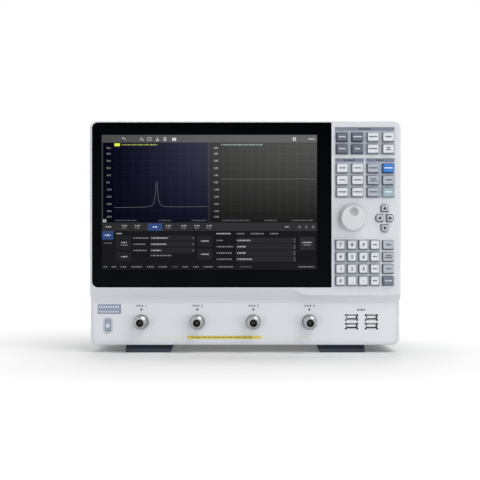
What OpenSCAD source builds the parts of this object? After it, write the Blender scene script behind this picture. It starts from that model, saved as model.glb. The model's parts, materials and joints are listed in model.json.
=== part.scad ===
// Bench vector network analyzer with four test ports, a wide display and a keypad.
// Millimetres. X runs to the right, Y into the instrument and Z up. The origin lies on the floor,
// in the middle of the overall width and depth.

/* [Display] */
// Width of the lit screen
screen_w = 261; // [235:1:285]
// Height of the lit screen
screen_h = 163.5; // [147.5:0.5:179.5]
// Black border on the left of the screen
border_left = 11.8; // [9:0.1:15]
// Black border on the right of the screen
border_right = 17.5; // [13:0.1:22]
// Black border above the screen
border_top = 15.1; // [11:0.1:20]
// Black border below the screen
border_bottom = 21.4; // [16:0.1:27]
// Thickness of the display glass
glass_t = 1.8; // [1.4:0.1:2.4]
// Radius of the glass's two left corners
glass_r = 7.3; // [4:0.1:10]
// Thickness of the screen module
lcd_t = 6; // [5:0.5:9]
// Rim of the screen module around its lit area
lcd_rim = 4; // [2:0.5:6]
// Width of the ledge that the glass rests on
glass_ledge = 4; // [3:0.5:6]

/* [Front bezel] */
// White strip left of the glass
strip_left = 2.9; // [2:0.1:5]
// White strip above the glass
strip_top = 2; // [1.5:0.1:4]
// Lip below the glass
lip_h = 1.8; // [1.2:0.1:3]
// Height of the sloping brow under the display
brow_h = 13.4; // [11:0.1:17]
// Height of the brow under the keypad
key_brow_h = 5.8; // [4:0.1:9]
// How far the port panel lies behind the glass
brow_depth = 9; // [7:0.5:12]
// Where the tall brow starts to narrow, from the glass's right edge leftwards
bend_offset = 50; // [40:1:60]
// Length of the bend between the two brows
bend_len = 19; // [12:1:28]
// Height of the zone that holds the ports
port_zone_h = 55.6; // [50:0.2:62]
// Depth of the bezel from front to back
bezel_depth = 24; // [21:0.5:30]
// Wall of the bezel
bezel_wall = 3; // [2.5:0.1:3.6]
// Radius of the instrument's long edges
corner_r = 9.2; // [7:0.1:12]
// Radius of the bezel's front edges
edge_r = 2.5; // [1:0.1:3]

/* [Port panel] */
// Margin between the panel plate and the bezel's edges
panel_margin = 4; // [3:0.1:6]
// Thickness of the panel plate
panel_t = 2.5; // [2:0.1:3.5]
// Corner radius of the panel plate
panel_r = 6; // [3:0.1:9]
// Corner radius of the panel plate's upper corners
panel_top_r = 1; // [0.5:0.1:3]
// Ledge of the bezel behind the plate
panel_ledge = 3; // [2:0.1:4]
// First test port's distance from the left side
port_x = 61.7; // [54:0.1:68]
// Distance between test ports
port_pitch = 68.4; // [60:0.1:72]
// Height of the ports above the bezel's lower edge
port_z = 28.1; // [24:0.1:30]
// Length of a port in front of the panel
port_len = 20; // [18:0.5:24]
// Length of the collar in front of the panel
collar_len = 6; // [4:0.5:7]
// Radius of the collar
collar_r = 9; // [8.8:0.1:11]
// Radius of the port's coupling thread
thread_r = 7.94; // [7.5:0.01:8.4]
// Radius of the port's socket bore
port_bore_r = 4.2; // [4:0.05:4.6]
// How far the centre contact lies behind the port's face
contact_set = 5.2; // [5:0.1:6]
// Radius of a port lamp
lamp_r = 1.4; // [1:0.1:2]
// Height of the lamps above the port's axis
lamp_rise = 15.3; // [14:0.1:18]
// USB socket column's distance from the right side
usb_x = 34.7; // [31:0.1:38]
// Distance between the USB columns
usb_pitch_x = 24.2; // [20:0.1:27]
// Distance between the USB rows
usb_pitch_z = 10.5; // [9.8:0.1:12]
// Height of the upper USB row above the bezel's lower edge
usb_z = 33.6; // [30:0.1:37]

/* [Keys] */
// Width of a function key
fn_key_w = 13.9; // [12.5:0.1:15.3]
// Height of a function key
fn_key_h = 11.2; // [10:0.1:12.4]
// Gap between function keys along a row
fn_gap_x = 4.7; // [4:0.1:6]
// Gap between key rows
gap_z = 3.3; // [2.9:0.1:3.7]
// Width of a number-pad key
pad_key_w = 10.8; // [9.4:0.1:11.2]
// Gap between number-pad keys along a row
pad_gap_x = 3.1; // [2.7:0.1:4.1]
// Gap between the number pad and the edit keys
edit_gap = 4; // [3.8:0.1:6]
// How far the keys stand out of the face
key_proud = 4.5; // [3.5:0.1:6]
// Draft of a key's sides from its foot to its face
key_draft = 0.8; // [0.3:0.05:0.9]
// Travel of a key
key_travel = 1.2; // [0.8:0.1:1.5]
// Clearance around a key in its hole
key_clear = 0.3; // [0.25:0.05:0.4]
// Width of an arrow key
arrow_w = 9.4; // [8.8:0.1:10.4]
// Distance of the upper and lower arrow keys from the cluster's centre
arrow_rise = 12.35; // [11.9:0.05:13.5]
// Distance of the left and right arrow keys from the cluster's centre
arrow_side = 6.5; // [5.8:0.05:7]

/* [Keypad layout] */
// Keys' distance from the glass
keys_left = 4.8; // [4.5:0.1:7]
// Keys' distance from the right side
keys_right = 9.0; // [7.5:0.1:11]
// Uppermost header's distance from the top
header_drop = 7.7; // [6:0.1:10]
// Height of a header bar
header_h = 4.4; // [3.5:0.1:5.5]
// Gap between a header bar and its keys
header_gap = 2.4; // [1.8:0.1:3.2]
// Gap between the response keys and the next headers
group_gap = 5.3; // [4.5:0.1:7]
// Gap between the utility keys and the knob
knob_gap = 7.8; // [7:0.1:11]
// Gap between the knob and the number pad
pad_gap = 9.2; // [8:0.1:12]
// Space below the number pad
keys_bottom = 11.4; // [9:0.1:14]
// Thickness of the keypad film
film_t = 0.5; // [0.4:0.05:0.7]
// How far the film lies below the face
film_set = 0.2; // [0.1:0.05:0.3]
// Margin of the film around its keys
film_margin = 1.25; // [0.6:0.05:1.4]

/* [Knob] */
// Radius of the knob's foot
knob_r = 17.8; // [15:0.1:18.5]
// Radius of the knob's face
knob_face_r = 15; // [13:0.1:16.5]
// Height of the knob
knob_h = 22; // [20:0.5:25]
// Knob centre's distance from the glass
knob_x = 24.4; // [22:0.1:27]
// Arrow cluster's distance from the knob's centre
arrow_x = 39.8; // [37:0.1:43]
// Radius of the finger dimple
dimple_r = 5.7; // [4:0.1:6]
// Radius of the encoder's shaft
shaft_r = 3; // [2.5:0.1:3.5]

/* [Case] */
// Depth from the glass to the rear panel's outer face
case_depth = 196; // [180:1:215]
// How far the sheet metal lies inside the bezel's outline
cover_inset = 1.5; // [1:0.1:2]
// Thickness of the sheet metal
sheet_t = 1.6; // [1.2:0.1:2]
// Height of the seam between cover and tray above the feet
seam_h = 30; // [25:1:40]
// Number of cooling slots on each side
slot_count = 16; // [8:1:18]
// Width of a cooling slot
slot_w = 3; // [2.5:0.1:3.5]
// Length of a cooling slot
slot_len = 46; // [30:1:60]
// Width of the rear flange that takes the rear screws
flange_w = 12; // [10:0.5:14]

/* [Feet and legs] */
// Height of the feet
foot_h = 9.3; // [8:0.1:11]
// Width of a front foot
foot_w = 58.5; // [50:0.5:66]
// Front foot's outer end, from the side
foot_side = 42.2; // [38:0.1:48]
// Distance from the glass plane back to a front foot
foot_set = 12; // [11:0.5:16]
// Depth of a front foot behind the bezel
foot_depth = 18; // [15:0.5:22]
// Length of a tilt leg from its hinge
leg_len = 46; // [38:1:55]
// Thickness of a tilt leg
leg_t = 4.6; // [3.8:0.1:5]
// Radius of a tilt leg's hinge pin
leg_pin_r = 1.5; // [1.2:0.1:1.7]
// How far the rear feet stand behind the rear panel
rear_foot_len = 16; // [15:0.5:20]
// Width of a rear foot
rear_foot_w = 30; // [24:1:34]

/* [Carrying handle] */
// Length of the handle's recess
recess_w = 150; // [130:1:170]
// Width of the recess from front to back
recess_d = 74; // [72:1:84]
// Depth of the recess
recess_h = 32; // [29:0.5:36]
// Distance of the recess behind the glass
recess_y = 62; // [55:1:70]
// Distance from the handle's pivots to its grip
grip_reach = 42; // [38:0.5:44]
// Width of the grip
grip_w = 20; // [17:0.5:22]
// Height of the grip
grip_h = 11; // [9:0.5:12]
// Radius of the handle's pivot pins
pivot_r = 3; // [2.5:0.1:3.5]

/* [Rear] */
// Size of the fan frame
fan_size = 80; // [70:1:90]
// Depth of the fan frame
fan_depth = 25; // [20:1:28]
// Radius of the rear connectors' shells
coax_r = 4.8; // [4.6:0.05:5]
// Number of rear coaxial connectors
coax_count = 5; // [3:1:5]
// Distance between rear coaxial connectors
coax_pitch = 27; // [24:0.5:29]
// Height of the rear connector row above the tray
rear_row_z = 34; // [30:0.5:40]
// Width of the mains inlet's cavity
inlet_w = 24.6; // [24:0.1:26]
// Height of the mains inlet's cavity
inlet_h = 16.6; // [16:0.1:18]
// Radius of a case screw's shank
screw_r = 2; // [1.7:0.1:2.2]

/* [Hidden] */
$fn = 64;
HULL_FN = 32;
E = 0.01;            // overshoot of a cut
FIT = 0.15;          // gap around a plate in its recess
RUN = 0.05;          // radial clearance of a pin or shaft in its hole
GAP = 0.3;           // clearance between a moving piece and its neighbour

glass_w = border_left + screen_w + border_right;
glass_h = border_top + screen_h + border_bottom;
fn_pitch = fn_key_w + fn_gap_x;
pad_pitch = pad_key_w + pad_gap_x;
row_pitch = fn_key_h + gap_z;
fn_block_w = 3 * fn_pitch + fn_key_w;
pad_block_w = 3 * pad_pitch + pad_key_w + edit_gap + fn_key_w;
keypad_w = keys_left + max(fn_block_w, pad_block_w) + keys_right;
body_w = strip_left + glass_w + keypad_w;

rows2_h = row_pitch + fn_key_h;
rows3_h = 2 * row_pitch + fn_key_h;
rows4_h = 3 * row_pitch + fn_key_h;
keys_stack = header_drop + header_h + header_gap + rows2_h + group_gap + header_h + header_gap
    + rows3_h + knob_gap + 2 * knob_r + pad_gap + rows4_h + keys_bottom + key_brow_h;
display_stack = strip_top + glass_h + lip_h + brow_h;
body_h = port_zone_h + max(keys_stack, display_stack);

x_side = body_w / 2;
x_glass0 = -x_side + strip_left;
x_glass1 = x_glass0 + glass_w;
x_keys1 = x_side - keys_right;
z_floor = 0;
z_base = z_floor + foot_h;
z_top = z_base + body_h;
z_panel_top = z_base + port_zone_h;
z_glass1 = z_top - strip_top;
z_glass0 = z_glass1 - glass_h;
z_lip = z_glass0 - lip_h;
z_face_right = z_panel_top + key_brow_h;
z_screen0 = z_glass0 + border_bottom;

// Depth of the whole instrument, and of the glass plane in the centred frame
front_reach = max(knob_h, port_len - brow_depth, key_proud);
y_face = (front_reach - case_depth - rear_foot_len) / 2;

// Keypad rows and columns
z_resp = z_top - header_drop - header_h - header_gap - fn_key_h / 2;
z_stim = z_resp - row_pitch - fn_key_h / 2 - group_gap - header_h - header_gap - fn_key_h / 2;
z_knob = z_stim - 2 * row_pitch - fn_key_h / 2 - knob_gap - knob_r;
z_pad = z_knob - knob_r - pad_gap - fn_key_h / 2;
z_pad_last = z_pad - 3 * row_pitch;
x_knob = x_glass1 + knob_x;
x_arrow = x_knob + arrow_x;
function fn_x(col) = x_keys1 - fn_key_w / 2 - (3 - col) * fn_pitch;
function pad_x(col) = x_keys1 - fn_key_w - edit_gap - pad_key_w / 2 - (3 - col) * pad_pitch;
pad_key_h = fn_key_h - 0.2;
film_hole = key_clear + 0.1;

// Depths behind the face
flange_y = bezel_wall + GAP;
key_flange_t = 1;
key_flange_lip = 0.8;
key_post_r = 2;
key_post_len = 2.7;
board_y = flange_y + key_flange_t + key_post_len + key_travel + GAP;
board_t = 1.6;
panel_y = brow_depth;
panel_back = panel_y + panel_t;
port_tip = panel_y - port_len;
port_flange_t = 3;
port_body_len = 10;
port_stub_len = 6;
port_rear = panel_back + port_flange_t + port_body_len + port_stub_len;
port_stub_r = 3.1;
port_wall_r = 6;

// Sheet metal
x_sheet = x_side - cover_inset;
z_sheet0 = z_base + cover_inset;
z_sheet1 = z_top - cover_inset;
sheet_r = corner_r - cover_inset;
z_tray = z_sheet0 + sheet_t;
z_seam = z_base + seam_h;
y_back = case_depth;
y_back_in = case_depth - sheet_t;
rear_z = z_tray + rear_row_z;

// Inner pieces
receiver_gap = 14;
receiver_x0 = -x_side + 38;
receiver_x1 = x_side - 96;
receiver_y0 = port_rear + receiver_gap;
receiver_y1 = receiver_y0 + 112;
receiver_h = 46;
supply_x0 = receiver_x1 + 8;
supply_x1 = x_sheet - sheet_t - 6;
supply_y0 = 52;
supply_y1 = supply_y0 + 100;
supply_h = 84;
post_len = 8;
main_y = glass_t + lcd_t + post_len;
main_w = 236;
main_h = 150;
chip_half = 15;
chip_t = 4;
fin_span = 28;
fin_pitch = 4.2;
fin_t = 2;
fin_h = 14;
x_main = (x_glass0 + x_glass1) / 2;
z_main = (z_glass0 + z_glass1) / 2 + 2;
fan_x = -x_side + 84;
fan_z = z_base + 160;
fan_bore_r = fan_size / 2 - 2.5;
hub_r = 16;
fan_boss_r = 14;
fan_boss_t = 4;
fan_y0 = y_back_in - fan_depth;

// Rear parts
coax_x0 = -x_side + 40;
coax_len = 12;
coax_inside = 9;
coax_sleeve = 3.2;
coax_neck_r = coax_r - 0.4;
coax_bore_r = coax_r - 0.9;
coax_bore = 8;
coax_core_r = 2.4;
coax_pin_r = 0.7;
coax_nut_r = 8;
coax_nut_t = 2.2;
lug_r = 1;
lug_out = 1.2;
lug_back = 4.6;
inlet_x = x_side - 52;
inlet_depth = 17;
inlet_wall = 1.6;
inlet_frame_w = 31;
inlet_frame_h = 50;
inlet_frame_t = 2;
inlet_z = rear_z;
switch_z = inlet_z + 24;
rocker_w = 19;
rocker_half = 7.6;
rocker_tilt = 8;
rocker_out = 4;
rocker_in = 3;
rocker_pin_r = 1.5;
lan_x = x_side - 168;
jack_board_z = 7.5;
usb_b_x = lan_x + 26;
hdmi_x = usb_b_x + 28;
lan_w = 11.8;
lan_h = 8.2;
lan_depth = 13;
jack_depth = 16;

// Handle
z_recess = z_sheet1 - recess_h;
pivot_y = recess_y + 14;
grip_y = pivot_y + grip_reach;
handle_set = 3;
arm_t = 8;
arm_h = 10;
pivot_z = z_sheet1 - handle_set - arm_h / 2;
boss_t = 4;

// Feet
foot_y0 = bezel_depth + 2;
foot_y1 = foot_y0 + foot_depth;
foot_x1 = x_side - foot_side;
foot_x0 = foot_x1 - foot_w;
sole_t = 2.4;
ear_t = 5;
leg_y = foot_y1 + 6;
leg_z = z_sheet0 / 2 + 0.6;
rear_foot_under = 22;

// Power button and its surround
button_x = -x_side + 20.9;
button_z = z_base + 24;
button_w = 7;
button_h = 15;
button_r = 2.4;
pill_w = 12.2;
pill_h = 21.6;
pill_set = 1;

RESPONSE = [for (i = [1:8]) str("response_key_", i)];
STIMULUS = [for (i = [1:6]) str("stimulus_key_", i)];
UTILITY = [for (i = [1:6]) str("utility_key_", i)];
EDIT = [for (i = [1:4]) str("edit_key_", i)];
NUMBER = [for (i = [1:4]) str("number_keys_row_", i)];
ARROW = ["arrow_key_up", "arrow_key_right", "arrow_key_down", "arrow_key_left"];

// ---- helpers -------------------------------------------------------------------------------

// Moves a piece drawn from the glass plane into the centred frame
module front() {
    translate([0, y_face, 0]) children();
}

// Extrudes an outline drawn in X and Z from y0 to y1
module plate(y0, y1) {
    translate([0, y1, 0]) rotate([90, 0, 0]) linear_extrude(y1 - y0) children();
}

// Extrudes an outline drawn in Y and Z from x0 to x1
module sill(x0, x1) {
    translate([x0, 0, 0]) rotate([90, 0, 90]) linear_extrude(x1 - x0) children();
}

module block(x0, x1, y0, y1, z0, z1) {
    translate([x0, y0, z0]) cube([x1 - x0, y1 - y0, z1 - z0]);
}

module rounded(x0, x1, z0, z1, r) {
    translate([x0 + r, z0]) square([x1 - x0 - 2 * r, z1 - z0]);
    translate([x0, z0 + r]) square([x1 - x0, z1 - z0 - 2 * r]);
    for (x = [x0 + r, x1 - r], z = [z0 + r, z1 - r])
        translate([x, z]) circle(r);
}

module centred(x, z, w, h) {
    translate([x - w / 2, z - h / 2]) square([w, h]);
}

// A cylinder along Y from y0 to y1
module rod_y(x, z, r, y0, y1) {
    translate([x, y0, z]) rotate([-90, 0, 0]) cylinder(r = r, h = y1 - y0);
}

// A cylinder along X from x0 to x1
module rod_x(y, z, r, x0, x1) {
    translate([x0, y, z]) rotate([0, 90, 0]) cylinder(r = r, h = x1 - x0);
}

function port_at(i) = -x_side + port_x + i * port_pitch;
function smooth(t) = t * t * (3 - 2 * t);

// ---- keys ----------------------------------------------------------------------------------

// Centres of every key as [x, z, width, height]
RESPONSE_AT = [for (r = [0:1], c = [0:3]) [fn_x(c), z_resp - r * row_pitch, fn_key_w, fn_key_h]];
STIMULUS_AT = [for (r = [0:2], c = [0:1]) [fn_x(c), z_stim - r * row_pitch, fn_key_w, fn_key_h]];
UTILITY_AT = [for (r = [0:2], c = [2:3]) [fn_x(c), z_stim - r * row_pitch, fn_key_w, fn_key_h]];
EDIT_AT = [for (r = [0:3]) [fn_x(3), z_pad - r * row_pitch, fn_key_w, fn_key_h]];
NUMBER_AT = [for (r = [0:3], c = [0:3]) [pad_x(c), z_pad - r * row_pitch, pad_key_w, pad_key_h]];
ARROW_DIR = [[0, 1], [1, 0], [0, -1], [-1, 0]];

module key(at) {
    x = at[0];
    z = at[1];
    w = at[2];
    h = at[3];
    plate(-film_set, flange_y + key_flange_t) centred(x, z, w, h);
    hull() {
        plate(-film_set - E, -film_set) centred(x, z, w, h);
        plate(-key_proud, -key_proud + E) centred(x, z, w - 2 * key_draft, h - 2 * key_draft);
    }
    plate(flange_y, flange_y + key_flange_t)
        centred(x, z, w + 2 * key_flange_lip, h + 2 * key_flange_lip);
    key_post(x, z);
}

module key_post(x, z) {
    rod_y(x, z, key_post_r, flange_y + key_flange_t, flange_y + key_flange_t + key_post_len);
}

module key_hole(at, grow, y1) {
    plate(-1, y1) centred(at[0], at[1], at[2] + 2 * grow, at[3] + 2 * grow);
}

// Outline of the upper arrow key: a square with its outer corners cut back
module arrow_outline(grow) {
    a = arrow_w / 2 + grow;
    cut = arrow_w * 0.3;
    polygon([[-a, -a], [a, -a], [a, a - cut - grow / 2], [a - cut - grow / 2, a],
        [cut + grow / 2 - a, a], [-a, a - cut - grow / 2]]);
}

module arrow_place(i) {
    d = ARROW_DIR[i];
    translate([x_arrow + d[0] * arrow_side, z_knob + d[1] * arrow_rise]) rotate(-90 * i) children();
}

module arrow_key(i) {
    plate(-film_set, flange_y + key_flange_t) arrow_place(i) arrow_outline(0);
    hull() {
        plate(-film_set - E, -film_set) arrow_place(i) arrow_outline(0);
        plate(-key_proud, -key_proud + E) arrow_place(i) arrow_outline(-key_draft);
    }
    plate(flange_y, flange_y + key_flange_t)
        arrow_place(i) arrow_outline(key_flange_lip - 0.2);
    d = ARROW_DIR[i];
    key_post(x_arrow + d[0] * arrow_side, z_knob + d[1] * arrow_rise);
}

ALL_KEYS_AT = concat(RESPONSE_AT, STIMULUS_AT, UTILITY_AT, EDIT_AT, NUMBER_AT);

module power_button() {
    color([0.55, 0.59, 0.68]) {
        plate(panel_y - 0.6, panel_back + GAP + E) button_outline(0);
        plate(panel_back + GAP, panel_back + GAP + key_flange_t) button_outline(1);
        rod_y(button_x, button_z, key_post_r,
            panel_back + GAP + key_flange_t, panel_back + GAP + key_flange_t + key_post_len);
    }
}

module button_outline(grow) {
    rounded(button_x - button_w / 2 - grow, button_x + button_w / 2 + grow,
        button_z - button_h / 2 - grow, button_z + button_h / 2 + grow, button_r);
}

// ---- front ---------------------------------------------------------------------------------

// Everything in front of the bezel's lower part: the tall brow bends up to the keypad's low one
module brow_cut() {
    steps = 8;
    x_bend = x_glass1 - bend_offset;
    far = x_side + 1;
    low = z_base - 1;
    xs = concat([-far], [for (i = [0:steps]) x_bend + bend_len * i / steps], [far]);
    function rise(i) = i == 0 ? 0 : i == steps + 2 ? 1 : smooth((i - 1) / steps);
    points = [for (i = [0:steps + 2]) let (z = z_lip + (z_face_right - z_lip) * rise(i))
        each [[xs[i], -1, low], [xs[i], -1, z], [xs[i], 0, z],
            [xs[i], brow_depth, z_panel_top], [xs[i], brow_depth, low]]];
    last = 5 * (steps + 2);
    sides = [for (i = [0:steps + 1], k = [0:4]) let (a = 5 * i + k, b = 5 * i + (k + 1) % 5)
        each [[a, b, b + 5], [a, b + 5, a + 5]]];
    polyhedron(points, concat([[4, 3, 2, 1, 0]], sides, [[for (k = [0:4]) last + k]]));
}

// Side view of the bezel's block: the port zone lies back, and both front edges are rounded
module side_profile() {
    soft_corner(0, z_panel_top, z_top, false);
    soft_corner(brow_depth, z_base, z_panel_top + E, true);
}

// A rectangle from y to the bezel's back, with its front upper or lower corner rounded
module soft_corner(y, z0, z1, low) {
    translate([y + edge_r, z0]) square([bezel_depth - y - edge_r, z1 - z0]);
    translate([y, z0 + (low ? edge_r : 0)]) square([bezel_depth - y, z1 - z0 - edge_r]);
    translate([y + edge_r, low ? z0 + edge_r : z1 - edge_r]) circle(edge_r);
}

// Plan view of the bezel's block from y backwards, with both front corners rounded
module plan_profile(y) {
    translate([-x_side + edge_r, y]) square([2 * (x_side - edge_r), bezel_depth - y]);
    translate([-x_side, y + edge_r]) square([2 * x_side, bezel_depth - y - edge_r]);
    for (x = [-x_side + edge_r, x_side - edge_r])
        translate([x, y + edge_r]) circle(edge_r);
}

// A quarter of this revolved block fills each corner of the bezel
module corner_block(x, z, y) {
    rod_profile(x, z) {
        translate([0, y]) square([corner_r - edge_r, bezel_depth - y]);
        translate([0, y + edge_r]) square([corner_r, bezel_depth - y - edge_r]);
        translate([corner_r - edge_r, y + edge_r]) circle(edge_r);
    }
}

module bezel_block() {
    x_in = x_side - corner_r;
    sill(-x_in, x_in) side_profile();
    translate([0, 0, z_panel_top]) linear_extrude(z_top - corner_r - z_panel_top) plan_profile(0);
    translate([0, 0, z_base + corner_r])
        linear_extrude(z_panel_top - z_base - corner_r) plan_profile(brow_depth);
    for (x = [-x_in, x_in]) {
        corner_block(x, z_top - corner_r, 0);
        corner_block(x, z_base + corner_r, brow_depth);
    }
}

module bezel_cavity() {
    back = bezel_depth + E;
    top = z_top - bezel_wall;
    sill(-x_side + bezel_wall, x_side - bezel_wall)
        polygon([[bezel_wall, top], [bezel_wall, z_lip + 1.3],
            [brow_depth + bezel_wall, z_panel_top + 1.3],
            [brow_depth + bezel_wall, z_base + bezel_wall],
            [back, z_base + bezel_wall], [back, top]]);
    // room for the lowest keys' flanges
    block(x_glass1 + 1, x_side - bezel_wall, bezel_wall, back,
        z_face_right + keys_bottom - 2.5, top);
}

module panel_outline(gap) {
    x = x_side - panel_margin + gap;
    z1 = z_panel_top - panel_margin + gap;
    rounded(-x, x, z_base + panel_margin - gap, z1, panel_r);
    rounded(-x, x, z1 - 3 * panel_r, z1, panel_top_r);
}

module glass_outline(gap) {
    rounded(x_glass0 - gap, x_glass1 + gap, z_glass0 - gap, z_glass1 + gap, glass_r);
    translate([x_glass1 - 2 * glass_r, z_glass0 - gap])
        square([2 * glass_r + gap, glass_h + 2 * gap]);
}

module film_area(x0, x1, z0, z1, grow) {
    translate([x0 - film_margin - grow, z0 - film_margin - grow])
        square([x1 - x0 + 2 * (film_margin + grow), z1 - z0 + film_margin + header_gap
            + 2 * grow]);
}

module film_outline(grow) {
    half = fn_key_h / 2;
    film_area(fn_x(0) - fn_key_w / 2, x_keys1, z_resp - row_pitch - half,
        z_resp + half + header_h, grow);
    film_area(fn_x(0) - fn_key_w / 2, fn_x(1) + fn_key_w / 2, z_stim - 2 * row_pitch - half,
        z_stim + half + header_h, grow);
    film_area(fn_x(2) - fn_key_w / 2, x_keys1, z_stim - 2 * row_pitch - half,
        z_stim + half + header_h, grow);
    film_area(pad_x(0) - pad_key_w / 2, pad_x(3) + pad_key_w / 2, z_pad_last - half,
        z_pad + half - header_gap + film_margin, grow);
}

module front_bezel() {
    color([0.82, 0.83, 0.85]) difference() {
        bezel_block();
        brow_cut();
        bezel_cavity();
        plate(-1, glass_t) glass_outline(FIT);
        block(x_glass0 + glass_ledge, x_glass1 - glass_ledge, 0, bezel_depth,
            z_glass0 + glass_ledge, z_glass1 - glass_ledge);
        plate(-1, film_set + film_t) film_outline(FIT);
        for (at = ALL_KEYS_AT)
            key_hole(at, key_clear, flange_y);
        for (i = [0:3])
            plate(-1, flange_y) arrow_place(i) arrow_outline(key_clear);
        rod_y(x_knob, z_knob, shaft_r + 2.6, -1, flange_y);
        plate(0, panel_back) panel_outline(FIT);
        block(-x_side + panel_margin + panel_ledge, x_side - panel_margin - panel_ledge,
            0, bezel_depth, z_base + panel_margin + panel_ledge,
            z_panel_top - panel_margin - panel_ledge);
    }
}

module usb_grid() {
    for (c = [0:1], r = [0:1])
        translate([x_side - usb_x - c * usb_pitch_x, z_base + usb_z - r * usb_pitch_z])
            children();
}

usb_hole_w = 14.9;
usb_hole_h = 7;
usb_relief_r = 0.9;

// USB cut-out with a round relief in each corner
module usb_opening() {
    centred(0, 0, usb_hole_w, usb_hole_h);
    for (x = [-1, 1], z = [-1, 1])
        translate([x * (usb_hole_w - usb_relief_r) / 2, z * (usb_hole_h - usb_relief_r) / 2])
            circle(usb_relief_r);
}

module port_panel() {
    color([0.85, 0.86, 0.87]) difference() {
        plate(panel_y, panel_back) panel_outline(0);
        for (i = [0:3]) {
            rod_y(port_at(i), z_base + port_z, collar_r + GAP, panel_y - 1, panel_back + 1);
            rod_y(port_at(i), z_base + port_z + lamp_rise, lamp_r, panel_y - 1, panel_y + 1);
        }
        plate(panel_y - 1, panel_back + 1) usb_grid() usb_opening();
        plate(panel_y - 1, panel_y + pill_set)
            rounded(button_x - pill_w / 2, button_x + pill_w / 2, button_z - pill_h / 2,
                button_z + pill_h / 2, pill_w / 2 - E);
        plate(panel_y - 1, panel_back + 1) button_outline(GAP);
    }
}

module display_glass() {
    color([0.05, 0.05, 0.06]) plate(0, glass_t) glass_outline(0);
}

module lcd_module() {
    back = glass_t + lcd_t;
    color([0.62, 0.63, 0.65]) {
        plate(glass_t, back)
            translate([x_glass0 + border_left - lcd_rim, z_screen0 - lcd_rim])
                square([screen_w + 2 * lcd_rim, screen_h + 2 * lcd_rim]);
        for (x = [-1, 1], z = [-1, 1])
            rod_y(x_main + x * (main_w / 2 - 8), z_main + z * (main_h / 2 - 8), 3,
                back - E, main_y);
    }
}

module keypad_overlay() {
    color([0.68, 0.70, 0.74]) difference() {
        plate(film_set, film_set + film_t) film_outline(0);
        for (at = ALL_KEYS_AT)
            key_hole(at, film_hole, film_set + film_t + 1);
    }
}

// Key circuit board with the knob's encoder on its back and posts to the bezel
module key_board() {
    bush_r = shaft_r + 1.6;
    x0 = fn_x(0) - fn_key_w / 2;
    z0 = z_pad_last - fn_key_h / 2;
    z1 = z_resp + fn_key_h / 2;
    color([0.10, 0.36, 0.20]) difference() {
        union() {
            block(x0, x_keys1, board_y, board_y + board_t, z0, z1);
            for (x = [x0 + 2.4, x_keys1 - 2.4], z = [z_knob - knob_r - 2, z_knob + knob_r + 2])
                rod_y(x, z, 1.8, bezel_wall, board_y + E);
            translate([x_knob - 7, board_y + board_t - E, z_knob - 7]) cube([14, 7, 14]);
            rod_y(x_knob, z_knob, bush_r, 1, board_y + board_t);
        }
        rod_y(x_knob, z_knob, shaft_r + RUN, 0, board_y + board_t + 6);
    }
}

// ---- knob ----------------------------------------------------------------------------------

knob_gap_y = 0.4;
hub_bore_r = shaft_r + 0.02;
hub_bore_len = knob_h - 6;

module tuning_knob() {
    color([0.86, 0.87, 0.88]) {
        difference() {
            rod_profile(x_knob, z_knob) polygon([[0, -knob_gap_y], [knob_r - 1, -knob_gap_y],
                [knob_r, -knob_gap_y - 1], [knob_face_r + 0.8, -knob_h + 3],
                [knob_face_r, -knob_h + 1.2], [knob_face_r - 1.4, -knob_h], [0, -knob_h]]);
            translate([x_knob, -knob_h - dimple_r * 0.75, z_knob + knob_face_r / 2])
                sphere(r = dimple_r * 1.25);
            rod_y(x_knob, z_knob, hub_bore_r, -knob_gap_y - hub_bore_len, 0);
        }
        rod_y(x_knob, z_knob, shaft_r, -knob_gap_y - hub_bore_len, board_y + board_t + 5.6);
    }
}

// Turns a profile of [radius, y] points around an axis along Y
module rod_profile(x, z) {
    translate([x, 0, z]) rotate([-90, 0, 0]) rotate_extrude() children();
}

// ---- test ports ----------------------------------------------------------------------------

module test_port(x) {
    z = z_base + port_z;
    difference() {
        union() {
            rod_profile(x, z) polygon([[0, port_tip], [thread_r - 1.6, port_tip],
                [thread_r, port_tip + 1.8], [thread_r, panel_y - collar_len],
                [collar_r - 0.8, panel_y - collar_len], [collar_r, panel_y - collar_len + 0.8],
                [collar_r, panel_back], [0, panel_back]]);
            translate([x - 12.5, panel_back, z - 12.5]) cube([25, port_flange_t, 25]);
            rod_y(x, z, port_wall_r, panel_back, port_rear - port_stub_len);
            rod_y(x, z, port_stub_r, panel_back, port_rear);
        }
        rod_y(x, z, port_bore_r, port_tip - 1, port_tip + 2 * contact_set);
        // spanner notches in the collar
        for (a = [0, 90, 180, 270])
            translate([x, 0, z]) rotate([0, a, 0]) translate([collar_r - 1, panel_y - 7, -1.6])
                cube([2, 4.5, 3.2]);
    }
    difference() {
        rod_y(x, z, 1.5, port_tip + contact_set, port_tip + 2 * contact_set);
        rod_y(x, z, 0.85, port_tip + contact_set - 1, port_tip + 2 * contact_set - 1);
    }
}

module port_connectors() {
    color([0.72, 0.72, 0.74])
        for (i = [0:3])
            test_port(port_at(i));
}

// Semi-rigid cable with a nut at each end, from each port to the receiver
module rf_cables() {
    nut_len = 5;
    z = z_base + port_z;
    color([0.80, 0.62, 0.35])
        for (i = [0:3]) {
            rod_y(port_at(i), z, 1.8, port_rear, receiver_y0);
            for (y = [port_rear, receiver_y0 - nut_len])
                translate([port_at(i), y, z]) rotate([-90, 0, 0]) cylinder(r = 4.6, h = nut_len, $fn = 6);
        }
}

module usb_shell(w, h, depth, wall, tongue_t) {
    difference() {
        plate(0, depth) centred(0, 0, w, h);
        plate(-1, depth - 1.5) centred(0, 0, w - 2 * wall, h - 2 * wall);
    }
    plate(1, depth) centred(0, h / 2 - wall - 1.5 - tongue_t / 2, w - 4 * wall - 1, tongue_t);
}

usb_w = 13.2;
usb_h = 5.8;
usb_depth = 14;

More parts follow.
